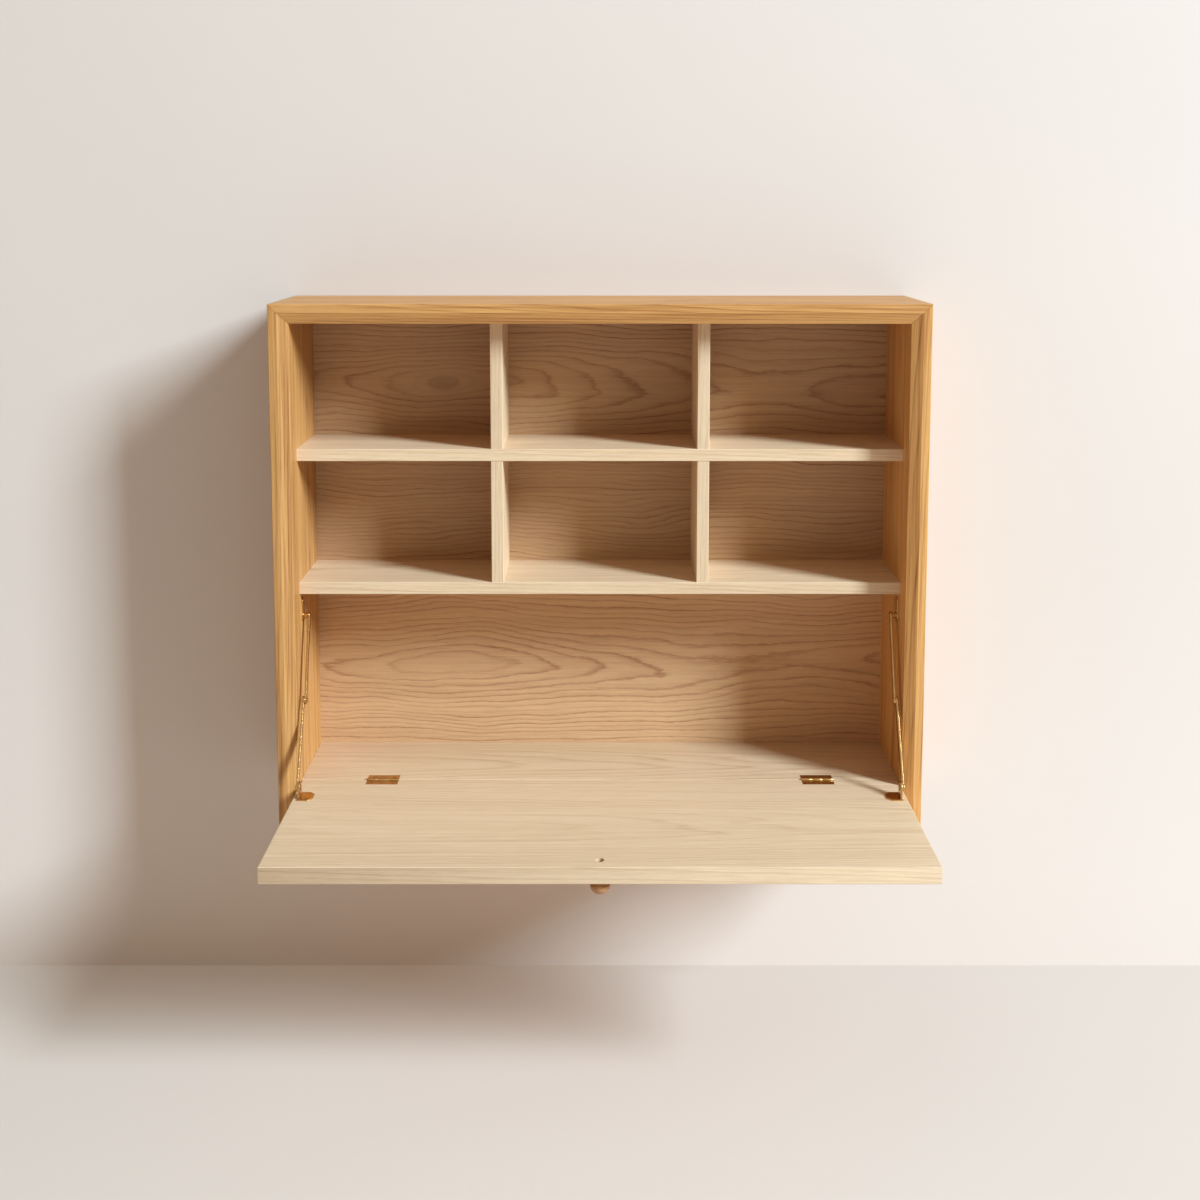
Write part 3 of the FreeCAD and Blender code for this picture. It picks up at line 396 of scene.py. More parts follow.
# How strong the weakest ring's line is. How much stronger lines are where PATCHES is 1 than where it
# is 0, and how strong they are at 0; in the same way, how light wood is by each texture. How far
# latewood lines and pores rise over the fibres, where less than 0 is a hollow.
WEAKEST_RING = 0.25
PATCH_LINES = (1.5, 0.2)
SHORT_LIGHT = (0.30, 0.85)
FIBRE_LIGHT = (0.16, 0.92)
TONE_LIGHT = (0.14, 0.93)
PORE_LIGHT = (-0.10, 1.0)
LINE_RELIEF = 0.6
PORE_RELIEF = -0.9

# Roughness of planed wood between its fibres, and how much fibres and latewood add to it.
ROUGHNESS = 0.40
FIBRE_ROUGHNESS = 0.14
LATE_ROUGHNESS = -0.08


def timber(name, place_of, count_of, ring, colours, *, lines, streaks, shade=1.0, stain=None):
    """Planed and oiled wood. Each ring darkens from its pale earlywood to a sharp latewood line,
    as strong as lines says; rings differ in strength, and streaks, fibres and pores run along the
    grain. Streaks are how far bands of fibre lean to the darker colour, shade is how light the
    whole board is, and the argument after shade gives where a glue line or a knot's stain darkens
    the wood and, on the panel, painted shade behind the pigeonholes. The colour is the mix of early
    and late wood times the product of every texture's lightness."""
    early, late = colours
    shader = Shader(bpy.data.materials.new(name))
    place = place_of(shader)
    count = count_of(shader, place, ring)
    number = shader.math("FLOOR", count)
    strength = shader.add("TexWhiteNoise", {"W": number}, noise_dimensions="1D").outputs["Value"]
    weight = shader.math("MULTIPLY_ADD", strength, 1 - WEAKEST_RING, WEAKEST_RING)
    visible = shader.math("MULTIPLY_ADD", shader.noise(place, *PATCHES), *PATCH_LINES)
    line = shader.ramp(shader.math("FRACT", count), RING_LINE)
    line = shader.math("MULTIPLY", shader.math("MULTIPLY", line, weight), visible)
    line = shader.math("MULTIPLY", line, shader.ramp(shader.math("DIVIDE", count, OLD_RINGS), YOUNG_LINES))
    narrow = shader.noise(place, *NARROW_STREAKS)
    short = shader.noise(place, *SHORT_STREAKS)
    fibre = shader.noise(place, *FIBRES)
    tone = shader.noise(place, *TONE)
    pores = shader.ramp(shader.noise(place, *PORES), PORES_SHOW)
    bands = shader.math("SUBTRACT", narrow, 0.5)
    bands = shader.math("MULTIPLY_ADD", bands, 1.5, shader.noise(place, *BROAD_STREAKS))
    bands = shader.ramp(bands, BANDS_SHOW)
    late_share = shader.math("MULTIPLY_ADD", bands, streaks, shader.math("MULTIPLY", line, lines))
    late_share = shader.math("MINIMUM", late_share, 1.0)
    wood = shader.blend(late_share, early, late)
    light = shader.math("MULTIPLY_ADD", narrow, streaks * shade, (1 - streaks / 2) * shade)
    textures = [(short, SHORT_LIGHT), (fibre, FIBRE_LIGHT), (tone, TONE_LIGHT), (pores, PORE_LIGHT)]
    # the darkening passed in is a glue line or a stain, and on the panel also painted shade
    if stain is not None:
        textures.append((stain(shader), (-STAIN_AND_SHADE_DEPTH, 1.0)))
    for texture, lightness in textures:
        light = shader.math("MULTIPLY", light, shader.math("MULTIPLY_ADD", texture, *lightness))
    shades = shader.add("CombineXYZ", {0: light, 1: light, 2: light}).outputs[0]
    relief = shader.math("MULTIPLY_ADD", line, LINE_RELIEF, fibre)
    relief = shader.math("MULTIPLY_ADD", pores, PORE_RELIEF, relief)
    roughness = shader.math("MULTIPLY_ADD", fibre, FIBRE_ROUGHNESS, ROUGHNESS)
    roughness = shader.math("MULTIPLY_ADD", late_share, LATE_ROUGHNESS, roughness)
    return shader.finish(shader.principled({
        "Base Color": shader.vector("MULTIPLY", wood, shades),
        "Roughness": roughness,
        "Specular IOR Level": 0.25,
        "Normal": shader.bump(relief, 0.12 * MM, 0.35),
    }))


def board_wood(node, turn, heart, ring, colours, **finish):
    """Timber of a board, from a log whose heart lies as turn and heart say."""
    return timber(f"{node}_wood", lambda shader: grain_place(shader, node, turn, heart), ring_count,
                  ring, colours, **finish)


def case_wood(node, turn, heart, shade):
    """Honey-coloured, strongly streaked wood with glue lines in its mitres."""
    look = bpy.context.scene.desk_wood
    return board_wood(node, turn, heart, look.case_ring, (look.case_early, look.case_late),
                      lines=0.5, streaks=0.48, shade=shade, stain=mitre_line)


def shelf_wood(node, turn, heart, shade=1.0):
    """Pale wood with soft lines."""
    look = bpy.context.scene.desk_wood
    return board_wood(node, turn, heart, look.shelf_ring, (look.shelf_early, look.shelf_late),
                      lines=0.4, streaks=0.16, shade=shade)


def knob_wood(node, turn, heart):
    """Tan wood of the knob."""
    look = bpy.context.scene.desk_wood
    return board_wood(node, turn, heart, look.shelf_ring, (look.knob_early, look.knob_late),
                      lines=0.35, streaks=0.2)


# Painted shade on the panel by its height above -1 m, which darkens it behind the pigeonholes and
# changes behind the lower shelf, and how dark its knot's stain is: from the middle outwards, and at most.
PIGEONHOLE_SHADE = [(0, 0), (0.64, 0), (0.69, 0.34), (1, 0.34)]
KNOT_DARK = [(0, 1), (0.35, 0.8), (1, 0)]
KNOT_TAN = 0.35


def panel_wood(node):
    """The panel's figure is placed by the desk's own axes, so its coordinates are only turned."""
    look = bpy.context.scene.desk_wood

    def place(shader):
        """X to the right along the grain, Y up and Z out of the panel's face."""
        inputs = {"Vector": shader.object_place(), "Rotation": FACING_ROOM}
        return shader.add("Mapping", inputs).outputs[0]

    def pigeonhole_shade_and_knot(shader):
        """Painted shade behind the pigeonholes, down to the lower shelf, and the knot's own stain."""
        height = shader.axes(shader.object_place())["Z"]
        # painted shade: the panel is darker above the lower shelf, behind the pigeonholes
        painted_shade = shader.ramp(shader.math("ADD", height, 1.0), PIGEONHOLE_SHADE)
        away = shader.distance(place(shader), PANEL_KNOT, KNOT_STAIN)
        return shader.math("MULTIPLY_ADD", shader.ramp(away, KNOT_DARK), KNOT_TAN, painted_shade)

    return timber(f"{node}_wood", place, panel_ring_count, look.panel_ring,
                  (look.panel_early, look.panel_late), lines=0.62, streaks=0.15, shade=1.08, stain=pigeonhole_shade_and_knot)


# ---------------------------------------------------------------- brass


# Noise of the dulled patches and of the rubbing marks (cells in a metre, detail), and how dull a
# patch is by its noise.
DULL_PATCHES = ((35, 35, 35), 3)
RUBBING = ((700, 700, 60), 1)
DULLED = [(0, 0), (0.38, 0), (0.72, 0.5), (1, 0.7)]

# How much rougher than its setting brass is where it is dulled, where it is rubbed and everywhere.
DULL_ROUGHNESS = 0.18
RUB_ROUGHNESS = 0.06
BASE_ROUGHNESS = -0.03


def brass(name):
    """Satin brass under thin lacquer: clean metal that has dulled in patches, with fine rubbing
    marks. Its roughness is the setting's, more where it is dulled or rubbed."""
    look = bpy.context.scene.desk_brass
    shader = Shader(bpy.data.materials.new(name))
    place = shader.object_place()
    dulled = shader.ramp(shader.noise(place, *DULL_PATCHES), DULLED)
    rubbing = shader.noise(place, *RUBBING)
    roughness = shader.math("MULTIPLY_ADD", dulled, DULL_ROUGHNESS, look.roughness + BASE_ROUGHNESS)
    roughness = shader.math("MULTIPLY_ADD", rubbing, RUB_ROUGHNESS, roughness)
    return shader.finish(shader.principled({
        "Base Color": shader.blend(dulled, look.bright, look.tarnish),
        "Metallic": 1.0,
        "Roughness": roughness,
        "Coat Weight": 0.2,
        "Coat Roughness": 0.12,
        "Normal": shader.bump(rubbing, 0.01 * MM, 0.08),
    }))


# ---------------------------------------------------------------- meshes


def keep(node, material):
    """The node stays, in a better material."""
    materials = frame["nodes"][node].data.materials
    materials.clear()
    materials.append(material)


def stand_for(piece, node, material):
    """The piece takes the node's place and body."""
    piece.data.materials.clear()
    piece.data.materials.append(material)
    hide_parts(node)
    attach(piece, NODE_BODY[node])
    return piece


def new_piece(name, data):
    """Object at the origin that holds a mesh, a lamp or a camera."""
    piece = bpy.data.objects.new(name, data)
    bpy.context.scene.collection.objects.link(piece)
    return piece


# Points of a mesh this near one another, or this near a face of its box, count as one or as on it.
WELD = 0.004 * MM
GRID_WELD = 0.002 * MM
NEAR = 0.01 * MM


def points_of(mesh):
    """The mesh's points as rows of X, Y and Z."""
    places = np.empty((len(mesh.vertices), 3), np.float32)
    mesh.vertices.foreach_get("co", places.ravel())
    return places


def round_outside(mesh):
    """Gives the bevel's full weight, and smooth shading, to the edges along the sides of the mesh's
    box: those whose two ends touch the same two faces of it."""
    places = points_of(mesh)
    ends = np.empty((len(mesh.edges), 2), np.int32)
    mesh.edges.foreach_get("vertices", ends.ravel())
    touches = np.concatenate([places < places.min(0) + NEAR, places > places.max(0) - NEAR], axis=1)
    outside = (touches[ends[:, 0]] & touches[ends[:, 1]]).sum(axis=1) == 2
    sharp = np.empty(len(outside), bool)
    mesh.edges.foreach_get("use_edge_sharp", sharp)
    mesh.edges.foreach_set("use_edge_sharp", sharp & ~outside)
    weights = mesh.attributes.new("bevel_weight_edge", "FLOAT", "EDGE")
    weights.data.foreach_set("value", outside.astype(np.float32))


def eased(node, width, material, outer=False, joined=True, slide=False):
    """The node's own shape, with its sharp edges rounded as a maker eases them: all of them, or only
    those along the outside of a board. joined merges faces in one plane first, and slide lets the
    ends of a rounding run along the next edge; which of them leaves no fold depends on the holes."""
    mesh = frame["nodes"][node].data.copy()
    work = bmesh.new()
    work.from_mesh(mesh)
    bmesh.ops.remove_doubles(work, verts=work.verts, dist=WELD)
    if joined:
        bmesh.ops.dissolve_limit(work, angle_limit=FLAT, verts=work.verts, edges=work.edges)
    for face in work.faces:
        face.smooth = True
    if outer:
        for edge in work.edges:
            edge.smooth = edge.calc_face_angle() < SHARP
    work.to_mesh(mesh)
    work.free()
    if outer:
        round_outside(mesh)
    piece = new_piece(f"{node}_eased", mesh)
    bevel = piece.modifiers.new("arris", "BEVEL")
    bevel.width = width
    bevel.segments = 2
    bevel.limit_method = "WEIGHT" if outer else "ANGLE"
    bevel.angle_limit = SHARP
    bevel.harden_normals = True
    bevel.loop_slide = slide
    return stand_for(piece, node, material)


def surface(name, *grids):
    """One mesh from grids of points, each an array of rows by columns by 3. Quads join neighbours in
    a grid; rows and columns that meet are welded."""
    corners, faces, start = [], [], 0
    for grid in grids:
        rows, columns = grid.shape[:2]
        index = start + np.arange(rows * columns).reshape(rows, columns)
        quads = np.stack([index[:-1, :-1], index[1:, :-1], index[1:, 1:], index[:-1, 1:]], axis=-1)
        corners.append(grid.reshape(-1, 3))
        faces.append(quads.reshape(-1, 4))
        start += rows * columns
    mesh = bpy.data.meshes.new(name)
    mesh.from_pydata(np.concatenate(corners), [], np.concatenate(faces))
    work = bmesh.new()
    work.from_mesh(mesh)
    bmesh.ops.remove_doubles(work, verts=work.verts, dist=GRID_WELD)
    bmesh.ops.recalc_face_normals(work, faces=work.faces)
    for face in work.faces:
        face.smooth = True
    for edge in work.edges:
        edge.smooth = len(edge.link_faces) == 2 and edge.calc_face_angle() < SHARP
    work.to_mesh(mesh)
    work.free()
    return mesh


def lathe(radii, heights, segments, middle, axis):
    """Grid of a turned form: the point at height h and angle t is h along the axis from the middle,
    and r(h) from it in the direction (cos t, sin t) of the plane square to the axis."""
    axis = Vector(axis)
    side = axis.orthogonal().normalized()
    other = axis.cross(side)
    turns = np.linspace(0, 2 * math.pi, segments + 1)
    ring = np.outer(np.cos(turns), side) + np.outer(np.sin(turns), other)
    radii = np.asarray(radii)[:, None, None]
    heights = np.asarray(heights)[:, None, None]
    return np.array(middle) + heights * np.array(axis) + radii * ring[None]


def solids(node):
    """Boxes of a node's separate solids: every vertex takes the lowest label among the triangles it
    belongs to, over and over, until the labels stay."""
    mesh = frame["nodes"][node].data
    places = points_of(mesh)
    corners = np.empty(len(mesh.loops), np.int32)
    mesh.loops.foreach_get("vertex_index", corners)
    _, welded = np.unique(np.round(places, 6), axis=0, return_inverse=True)
    welded = welded.ravel()
    triangles = welded[corners].reshape(-1, 3)
    labels = np.arange(welded.max() + 1)
    while True:
        lower = labels.copy()
        np.minimum.at(lower, triangles, labels[triangles].min(axis=1)[:, None])
        if (lower == labels).all():
            break
        labels = lower
    owner = labels[welded]
    return [(places[owner == label].min(0), places[owner == label].max(0)) for label in np.unique(owner)]


# Points of a screw's head from its rim to the slot, across the slot and along each chord.
HEAD_STEPS = 7
SLOT_STEPS = 3
CHORD_STEPS = 13

# How far a slot's walls lean, the least height of a screw head's rim, and the blunt end of its shank:
# its radius by the shank's, its length, and the length of the taper above it in radii of the shank.
SLOT_WALL = 0.02 * MM
SCREW_RIM = 0.3 * MM
SCREW_TIP = 0.4
SCREW_BLUNT = 0.3 * MM
SCREW_TAPER = 2


def slotted_head(radius, rise, slot_width, slot_depth, turn):
    """Grid over a screw's head: x steps from rim to rim with a pair of steps at each wall of the slot,
    y is a share of the chord there, and z is the dome less the slot's depth between its walls."""
    half = slot_width / 2
    outer = np.linspace(half + SLOT_WALL, radius, HEAD_STEPS)
    inner = np.linspace(-half, half, SLOT_STEPS)
    x = np.concatenate([-outer[::-1], inner, outer])
    share = np.linspace(-1, 1, CHORD_STEPS)
    chord = np.sqrt(np.maximum(radius * radius - x * x, 0))
    y = chord[:, None] * share[None, :]
    x = np.repeat(x[:, None], len(share), axis=1)
    z = rise * (1 - (x * x + y * y) / (radius * radius))
    z = z - slot_depth * (np.abs(x) < half + SLOT_WALL / 2)
    cos, sin = math.cos(turn), math.sin(turn)
    return np.stack([cos * x - sin * y, sin * x + cos * y, z], axis=-1)


def head_rim(head):
    """The rim of a slotted head's grid, once round it."""
    return np.concatenate([head[:, 0], head[::-1, -1], head[:1, 0]])


def screw(point, way, head_radius, shank_radius, depth, cone, rise, slot_turn):
    """Grids of one slotted screw: its head, then the rim carried down a profile of radii and depths:
    a straight rim, a cone to the shank, the shank and its blunt tip. point is the middle of the head
    and way the direction that the screw goes in."""
    look = bpy.context.scene.desk_brass
    head = slotted_head(head_radius, rise, look.slot_width, look.slot_depth, slot_turn)
    rim = head_rim(head)
    spread = rim / np.maximum(np.linalg.norm(rim[:, :2], axis=1), 1e-9)[:, None]
    spread[:, 2] = 0
    radii = np.array([head_radius, shank_radius, shank_radius, shank_radius * SCREW_TIP, 0])
    rim_depth = max(look.slot_depth, SCREW_RIM)
    taper = depth - SCREW_TAPER * shank_radius
    depths = np.array([rim_depth, cone, taper, depth - SCREW_BLUNT, depth])
    body = radii[:, None, None] * spread[None]
    body[..., 2] -= depths[:, None]
    body = np.concatenate([rim[None], body])
    way = Vector(way)
    side = way.orthogonal().normalized()
    other = side.cross(way)
    basis = np.array([side, other, -way])
    return [np.array(point) + grid @ basis for grid in (head, body)]


# ---------------------------------------------------------------- operators


class DeskOperator(Operator):
    """Shared options of the desk's operators"""

    bl_options = {"REGISTER", "UNDO"}


# In the operators each board has its grain's turn, the place of its middle in the log and, where
# boards differ, how light it is.


class DESK_OT_case(DeskOperator):
    """Mitred case boards in honey-coloured wood, each with its grain along its length"""

    bl_idname = "desk.case"
    bl_label = "Case boards"

    def execute(self, context):
        boards = {
            "case_top": (ALONG_X, (0.3, 0.020, 0.075), 0.93),
            "case_bottom": (ALONG_X, (-2.1, 0.035, 0.090), 0.95),
            "case_left_side": (UPRIGHT, (1.7, -0.030, 0.070), 0.83),
            "case_right_side": (UPRIGHT, (4.4, 0.025, 0.085), 1.07),
        }
        for node, (turn, heart, shade) in boards.items():
            keep(node, case_wood(node, turn, heart, shade))
        return {"FINISHED"}


class DESK_OT_shelves(DeskOperator):
    """Shelves, dividers and the desk's floor in pale wood"""

    bl_idname = "desk.shelves"
    bl_label = "Shelves and dividers"

    def execute(self, context):
        boards = {
            "upper_shelf": (ALONG_X, (6.2, 0.010, 0.080), 1.1),
            "lower_shelf": (ALONG_X, (8.9, -0.030, 0.095), 1.05),
            "upper_left_divider": (UPRIGHT, (13.1, 0.040, 0.060), 1.04),
            "upper_right_divider": (UPRIGHT, (15.6, -0.020, 0.075), 1.04),
            "middle_left_divider": (UPRIGHT, (17.2, 0.030, 0.085), 1.04),
            "middle_right_divider": (UPRIGHT, (19.9, 0.015, 0.070), 1.04),
        }
        for node, (turn, heart, shade) in boards.items():
            keep(node, shelf_wood(node, turn, heart, shade))
        wood = shelf_wood("desk_floor", ALONG_X, (11.3, 0.015, 0.110))
        eased("desk_floor", context.scene.desk_wood.arris, wood, outer=True)
        return {"FINISHED"}


class DESK_OT_flap(DeskOperator):
    """The flap, which is the writing surface when it is open"""

    bl_idname = "desk.flap"
    bl_label = "Flap"

    def execute(self, context):
        wood = shelf_wood("flap_board", ALONG_X, (23.3, 0.020, 0.120))
        eased("flap_board", context.scene.desk_wood.arris, wood, outer=True)
        return {"FINISHED"}


class DESK_OT_back(DeskOperator):
    """Back panel with its flame figure, and the hidden splines and cleats"""

    bl_idname = "desk.back"
    bl_label = "Back panel and cleats"

    def execute(self, context):
        keep("back_panel", panel_wood("back_panel"))
        hidden = {
            "hanging_cleat": (ALONG_X, (26.0, 0.050, 0.060)),
            "wall_cleat": (ALONG_X, (29.0, 0.050, 0.060)),
            "mitre_splines": (UPRIGHT, (31.0, 0.020, 0.050)),
        }
        for node, (turn, heart) in hidden.items():
            keep(node, shelf_wood(node, turn, heart))
        return {"FINISHED"}


# The knob's neck by its head's radius, the lip between neck and nose by its height, how much of that
# height the cove takes up, how far the flap's side of the neck is eased, and the knob's sides.
KNOB_NECK = 0.64
KNOB_LIP = 0.46
KNOB_COVE = 0.9
KNOB_EASE = 0.5 * MM
KNOB_SIDES = 64


class DESK_OT_knob(DeskOperator):
    """Turned knob: a coved neck under a round-nosed head. Both are quarters of an ellipse"""

    bl_idname = "desk.knob"
    bl_label = "Knob"

    def execute(self, context):
        low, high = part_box("knob")
        radius = (high.x - low.x) / 2
        drop = high.z - low.z
        neck = radius * KNOB_NECK
        lip = drop * KNOB_LIP
        turns = np.linspace(0, math.pi / 2, 12)
        out, down = 1 - np.cos(turns), np.sin(turns)
        cove = np.stack([neck + (radius - neck) * out, -lip * KNOB_COVE * down], axis=1)
        turns = np.linspace(0, math.pi / 2, 20)
        nose = np.stack([radius * np.cos(turns), -lip - (drop - lip) * np.sin(turns)], axis=1)
        profile = np.concatenate([[(0, 0), (neck - KNOB_EASE, 0)], cove, nose])
        middle = ((low.x + high.x) / 2, (low.y + high.y) / 2, high.z)
        grid = lathe(profile[:, 0], profile[:, 1], KNOB_SIDES, middle, (0, 0, 1))
        piece = new_piece("turned_knob", surface("turned_knob", grid))
        stand_for(piece, "knob", knob_wood("knob", ALONG_X, (35.0, 0.030, 0.040)))
        return {"FINISHED"}


class DESK_OT_plates(DeskOperator):
    """Hinge leaves and pins, and the stays' brackets and links"""

    bl_idname = "desk.plates"
    bl_label = "Hinges and stays"

    def execute(self, context):
        width = context.scene.desk_brass.arris
        metal = brass("brass_plate")
        kinds = ("hinge_floor_leaf", "hinge_pin", "flap_bracket", "upper_link", "lower_link")
        for hand in ("left", "right"):
            for kind in kinds:
                eased(f"{hand}_{kind}", width, metal)
            eased(f"{hand}_hinge_flap_leaf", width, metal, joined=False)
            eased(f"{hand}_side_bracket", width, metal, joined=False, slide=True)
        return {"FINISHED"}


# Points along a rivet's dome, and its sides.
DOME_STEPS = 9
RIVET_SIDES = 40


def dome(radius, rise):
    """Half section (radius, depth) of a domed head from its crown down to its edge: the arc of a ball
    through the crown and the edge, whose radius is (radius squared + rise squared) / (2 rise)."""
    ball = (radius * radius + rise * rise) / (2 * rise)
    turns = np.linspace(0, math.asin(radius / ball), DOME_STEPS)
    return list(zip(ball * np.sin(turns), ball * (1 - np.cos(turns))))


def rivet_section(kind, radius, size, look):
    """Half section (radius, depth from its crown) of a rivet or pin: a dome over a straight rim, then
    the shank. A side pivot's pin carries a collar with eased edges and stands in its bracket's plate,
    and a flap pivot's rivet ends in a second head like the first."""
    shank, ease = look.rivet_shank, look.arris
    crown = dome(radius, look.rivet_head - look.rivet_rim)
    head = [*crown, (radius, look.rivet_head), (shank, look.rivet_head)]
    if kind == "side_pivot_pin":
        collar, plate = look.collar_start, size - look.plate
        stem = [(shank, collar), (radius - ease, collar), (radius, collar + ease), (radius, plate - ease),
                (radius - ease, plate), (shank, plate), (shank, size), (0, size)]
    elif kind == "flap_pivot_rivet":
        stem = [(across, size - depth) for across, depth in head[::-1]]
    else:
        stem = [(shank, size), (0, size)]
    return np.array(head + stem)


class DESK_OT_rivets(DeskOperator):
    """Domed rivets and shouldered pins that the stays turn on"""

    bl_idname = "desk.rivets"
    bl_label = "Rivets"

    def execute(self, context):
        look = context.scene.desk_brass
        metal = brass("brass_rivet")
        for hand, side in (("left", -1), ("right", 1)):
            for kind in ("side_pivot_pin", "elbow_rivet", "elbow_rivet_tail", "flap_pivot_rivet"):
                node = f"{hand}_{kind}"
                low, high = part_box(node)
                section = rivet_section(kind, (high.y - low.y) / 2, high.x - low.x, look)
                outward = kind == "elbow_rivet"
                crown = high.x if outward == (side > 0) else low.x
                middle = (crown, (low.y + high.y) / 2, (low.z + high.z) / 2)
                way = (-side if outward else side, 0, 0)
                grid = lathe(section[:, 0], section[:, 1], RIVET_SIDES, middle, way)
                stand_for(new_piece(f"domed_{node}", surface(node, grid)), node, metal)
        return {"FINISHED"}


# Wood screws: the shank's radius by the head's, the depth of the head's cone, and how far the slot
# is turned on the first screw of a node and from each to the next.
SHANK_SHARE = 0.5
CONE_DEPTH = 1.5 * MM
FIRST_TURN = 0.4
NEXT_TURN = 2.3

# The knob's screw: how far its rim lies below its crown, its shank's radius and its cone's depth.
KNOB_RIM = 1.4 * MM
KNOB_RISE = 1.3 * MM
KNOB_SHANK = 1.95 * MM
KNOB_CONE = 1.6 * MM
KNOB_TURN = 0.5


class DESK_OT_screws(DeskOperator):
    """Slotted screws of the hinges, brackets and knob"""

    bl_idname = "desk.screws"
    bl_label = "Screws"

    def execute(self, context):
        rise = context.scene.desk_brass.head_rise
        metal = brass("brass_screw")
        for node in ("hinge_floor_screws", "hinge_flap_screws", "side_bracket_screws", "flap_bracket_screws"):
            grids = []
            for number, (low, high) in enumerate(solids(node)):
                middle, size = (low + high) / 2, high - low
                axis = int(np.argmax(size))
                radius = size[(axis + 1) % 3] / 2
                way = np.zeros(3)
                way[axis] = -1 if axis == 2 else math.copysign(1, middle[0])
                point = middle - way * size[axis] / 2
                turn = FIRST_TURN + NEXT_TURN * number
                grids += screw(point, way, radius, radius * SHANK_SHARE, size[axis], CONE_DEPTH, rise, turn)
            stand_for(new_piece(f"slotted_{node}", surface(node, *grids)), node, metal)
        low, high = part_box("knob_screw")
        point = ((low.x + high.x) / 2, (low.y + high.y) / 2, high.z - KNOB_RIM)
        radius, depth = (high.x - low.x) / 2, point[2] - low.z
        grids = screw(point, (0, 0, -1), radius, KNOB_SHANK, depth, KNOB_CONE, KNOB_RISE, KNOB_TURN)
        stand_for(new_piece("slotted_knob_screw", surface("knob_screw", *grids)), "knob_screw", metal)
        return {"FINISHED"}


# What the main lamp points at and which way it lies from there, how far the wall and floor reach
# from the desk, and the floor's painted shade: how light its paint is by tens of metres from the spot
# under the lamp.
LAMP_TARGET = Vector((0, -0.1, -0.3))
LAMP_WAY = Vector((1.57, -1, 1.1)).normalized()
REACH = 9.0
PAINTED_SHADE_UNDER_LAMP = [(0, 0.34), (0.5, 0.4), (0.59, 0.48), (0.85, 1), (1, 1)]
TENS_OF_METRES = (0.1, 0.1, 0)

# The paint's clouds and its peel: cells of noise in a metre and the noise's detail. Then the wall's
# painted light: where the wall is low, by its depth in metres below the wall screws, how much lighter
# its paint is there, and how far the clouds go either side of its colour.
CLOUDS = ((1.5, 1.5, 1.5), 3)
PEEL = ((220, 220, 220), 2)
PAINTED_LIGHT_LOW_ON_WALL = [(0, 0), (0.3, 0), (0.9, 1), (1, 1)]
PAINTED_LIGHT_GAIN = 1.07
CLOUD_DARK = 0.975
CLOUD_LIGHT = 1.02


def lamp_place(look):
    """Where the main lamp hangs."""
    return LAMP_TARGET + LAMP_WAY * look.key_distance


def lighter(tint, gain):
    """The colour times the gain, each level up to 1."""
    return tuple(min(1, level * gain) for level in tint)


def plaster(name, tint):
    """Painted plaster with a faint orange-peel. The wall shows only from its front, to the camera and
    in polished metal, and other light passes it, so that the desk's back can be seen lit; its paint is
    lighter low down, which is painted light. The floor is clear only to a camera beneath it, and its
    paint is darker under the lamp, which is painted shade."""
    shader = Shader(bpy.data.materials.new(name))
    place = shader.object_place()
    clouds = shader.noise(place, *CLOUDS)
    peel = shader.noise(place, *PEEL)
    paint = shader.blend(clouds, lighter(tint, CLOUD_DARK), lighter(tint, CLOUD_LIGHT))
    path = shader.add("LightPath").outputs
    behind = shader.add("NewGeometry").outputs["Backfacing"]
    if name == "floor":
        shown = shader.math("SUBTRACT", 1.0, shader.math("MULTIPLY", path["Is Camera Ray"], behind))
        foot = tuple(lamp_place(bpy.context.scene.desk_stage))
        away = shader.distance(place, foot, TENS_OF_METRES)
        # painted shade: the floor's paint darkens towards the spot under the lamp
        paint = shader.blend(shader.ramp(away, PAINTED_SHADE_UNDER_LAMP), (0, 0, 0), paint)
    else:
        # painted light: the wall's paint grows lighter towards the floor
        low = shader.ramp(shader.math("MULTIPLY", shader.axes(place)["Z"], -1.0), PAINTED_LIGHT_LOW_ON_WALL)
        paint = shader.blend(low, paint, lighter(tint, PAINTED_LIGHT_GAIN))
        rays = shader.math("MAXIMUM", path["Is Camera Ray"], path["Is Glossy Ray"])
        shown = shader.math("MULTIPLY", rays, shader.math("SUBTRACT", 1.0, behind))
    painted = shader.principled({
        "Base Color": paint,
        "Roughness": 0.85,
        "Specular IOR Level": 0.0 if name == "floor" else 0.15,
        "Normal": shader.bump(peel, 0.4 * MM, 0.12),
    })
    clear = shader.add("BsdfTransparent").outputs[0]
    return shader.finish(shader.add("MixShader", {0: shown, 1: clear, 2: painted}).outputs[0])


# How much the light dims overhead against how much it dims straight ahead.
DIM_ABOVE = 0.35

# The wall stands this far behind the desk's back, and the camera's sensor is this wide.
WALL_GAP = 0.5 * MM
SENSOR_MM = 36


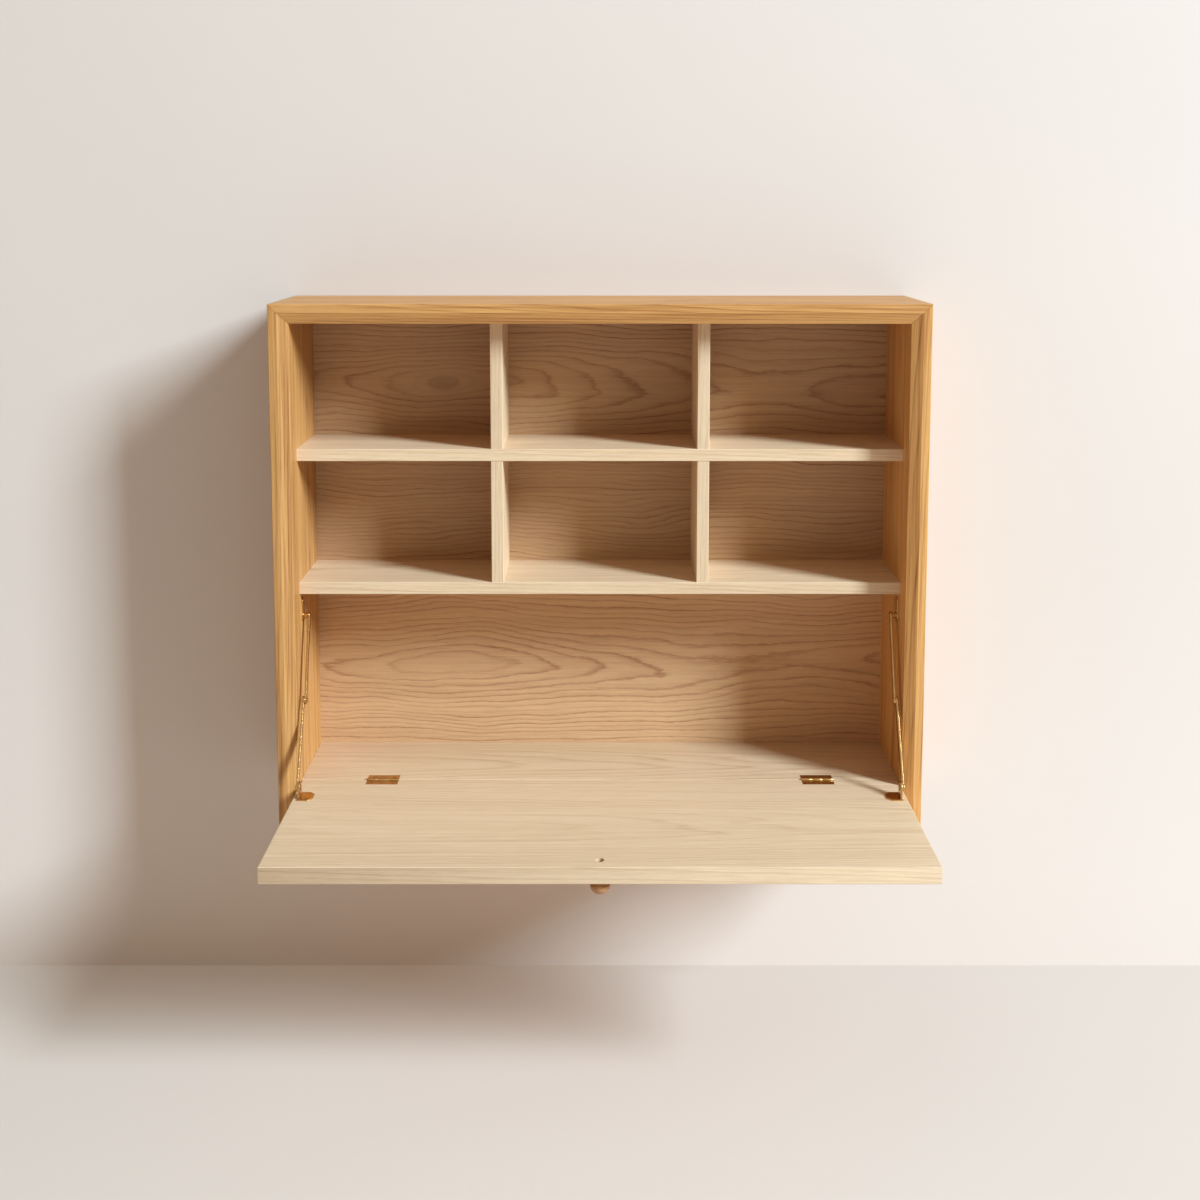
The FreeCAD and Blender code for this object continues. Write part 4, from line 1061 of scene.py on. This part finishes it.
class DESK_OT_stage(DeskOperator):
    """Wall, floor, lamps and camera"""

    bl_idname = "desk.stage"
    bl_label = "Stage"

    def execute(self, context):
        look = context.scene.desk_stage
        self.flat("wall", look, plaster("wall", look.wall))
        self.flat("floor", look, plaster("floor", look.floor))
        self.world(context.scene, look)
        self.lamp(look)
        self.camera(context.scene, look)
        return {"FINISHED"}

    def flat(self, name, look, material):
        """A large plane: the wall just behind the desk's back, or the floor."""
        wide = np.linspace(-REACH, REACH, 2)
        if name == "wall":
            across, up = np.meshgrid(wide, np.array([look.floor_level, REACH]), indexing="ij")
            grid = np.stack([across, np.full_like(up, WALL_GAP), up], axis=-1)
        else:
            across, back = np.meshgrid(wide, wide, indexing="ij")
            grid = np.stack([across, back, np.full_like(back, look.floor_level)], axis=-1)
        mesh = surface(name, grid)
        mesh.materials.append(material)
        piece = new_piece(name, mesh)
        facing = mesh.polygons[0].normal
        if facing.y > 0.5 or facing.z < -0.5:
            mesh.flip_normals()
        piece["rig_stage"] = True

    def world(self, scene, look):
        """Soft light from all round, which the camera and polished metal see pale. It is the fill,
        mixed towards the front fill by Y squared + DIM_ABOVE times Z squared of the way it comes."""
        shader = Shader(bpy.data.worlds.new("studio"))
        path = shader.add("LightPath").outputs
        seen = shader.math("MAXIMUM", path["Is Camera Ray"], path["Is Glossy Ray"])
        axes = shader.axes(shader.add("TexCoord").outputs["Generated"])
        ahead = shader.math("MULTIPLY", axes[1], axes[1])
        above = shader.math("MULTIPLY", axes[2], axes[2])
        dimming = shader.math("MULTIPLY_ADD", above, DIM_ABOVE, ahead)
        light = shader.blend(dimming, look.fill, look.front_fill)
        fill = shader.add("Background", {"Color": light}).outputs[0]
        pale = shader.add("Background", {"Color": (*look.backdrop, 1)}).outputs[0]
        scene.world = shader.finish(shader.add("MixShader", {0: seen, 1: fill, 2: pale}).outputs[0])

    def lamp(self, look):
        """The main lamp, high on the right in front of the desk."""
        lamp = bpy.data.lights.new("key", "AREA")
        lamp.shape = "RECTANGLE"
        lamp.size = look.key_width
        lamp.size_y = look.key_height
        lamp.energy = look.key_power
        lamp.color = look.key
        holder = new_piece("key", lamp)
        holder.location = lamp_place(look)
        holder.rotation_euler = LAMP_WAY.to_track_quat("Z", "Y").to_euler()

    def camera(self, scene, look):
        """The camera on the desk's middle line, looking down a little, with its lens shifted."""
        camera = bpy.data.cameras.new("camera")
        camera.lens = look.camera_lens
        camera.sensor_width = SENSOR_MM
        camera.shift_y = look.camera_shift
        holder = new_piece("camera", camera)
        holder.location = (0, -look.camera_back, look.camera_height)
        holder.rotation_euler = (math.pi / 2 - look.camera_tilt, 0, 0)
        scene.camera = holder
        scene.view_settings.view_transform = "Standard"


OPERATORS = (
    DESK_OT_case,
    DESK_OT_shelves,
    DESK_OT_flap,
    DESK_OT_back,
    DESK_OT_knob,
    DESK_OT_plates,
    DESK_OT_rivets,
    DESK_OT_screws,
    DESK_OT_stage,
)


class DESK_PT_pieces(Panel):
    """Lists the desk's operators and settings in the sidebar"""

    bl_label = "Fold down desk"
    bl_space_type = "VIEW_3D"
    bl_region_type = "UI"
    bl_category = "Desk"

    def draw(self, context):
        for operator in OPERATORS:
            self.layout.operator(operator.bl_idname)
        for settings in (context.scene.desk_wood, context.scene.desk_brass, context.scene.desk_stage):
            box = self.layout.box()
            for name in settings.bl_rna.properties.keys():
                if name not in ("rna_type", "name"):
                    box.prop(settings, name)


SETTINGS = {"desk_wood": WoodSettings, "desk_brass": BrassSettings, "desk_stage": StageSettings}
CLASSES = (*SETTINGS.values(), *OPERATORS, DESK_PT_pieces)


def register():
    """Makes the settings, operators and panel known."""
    for item in CLASSES:
        bpy.utils.register_class(item)
    for name, settings in SETTINGS.items():
        setattr(bpy.types.Scene, name, PointerProperty(type=settings))


def unregister():
    """Takes them away again."""
    for name in SETTINGS:
        delattr(bpy.types.Scene, name)
    for item in reversed(CLASSES):
        bpy.utils.unregister_class(item)


def main():
    """Builds the desk and its stage."""
    register()
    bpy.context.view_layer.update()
    for operator in OPERATORS:
        group, name = operator.bl_idname.split(".")
        getattr(getattr(bpy.ops, group), name)()


if __name__ == "__main__":
    main()
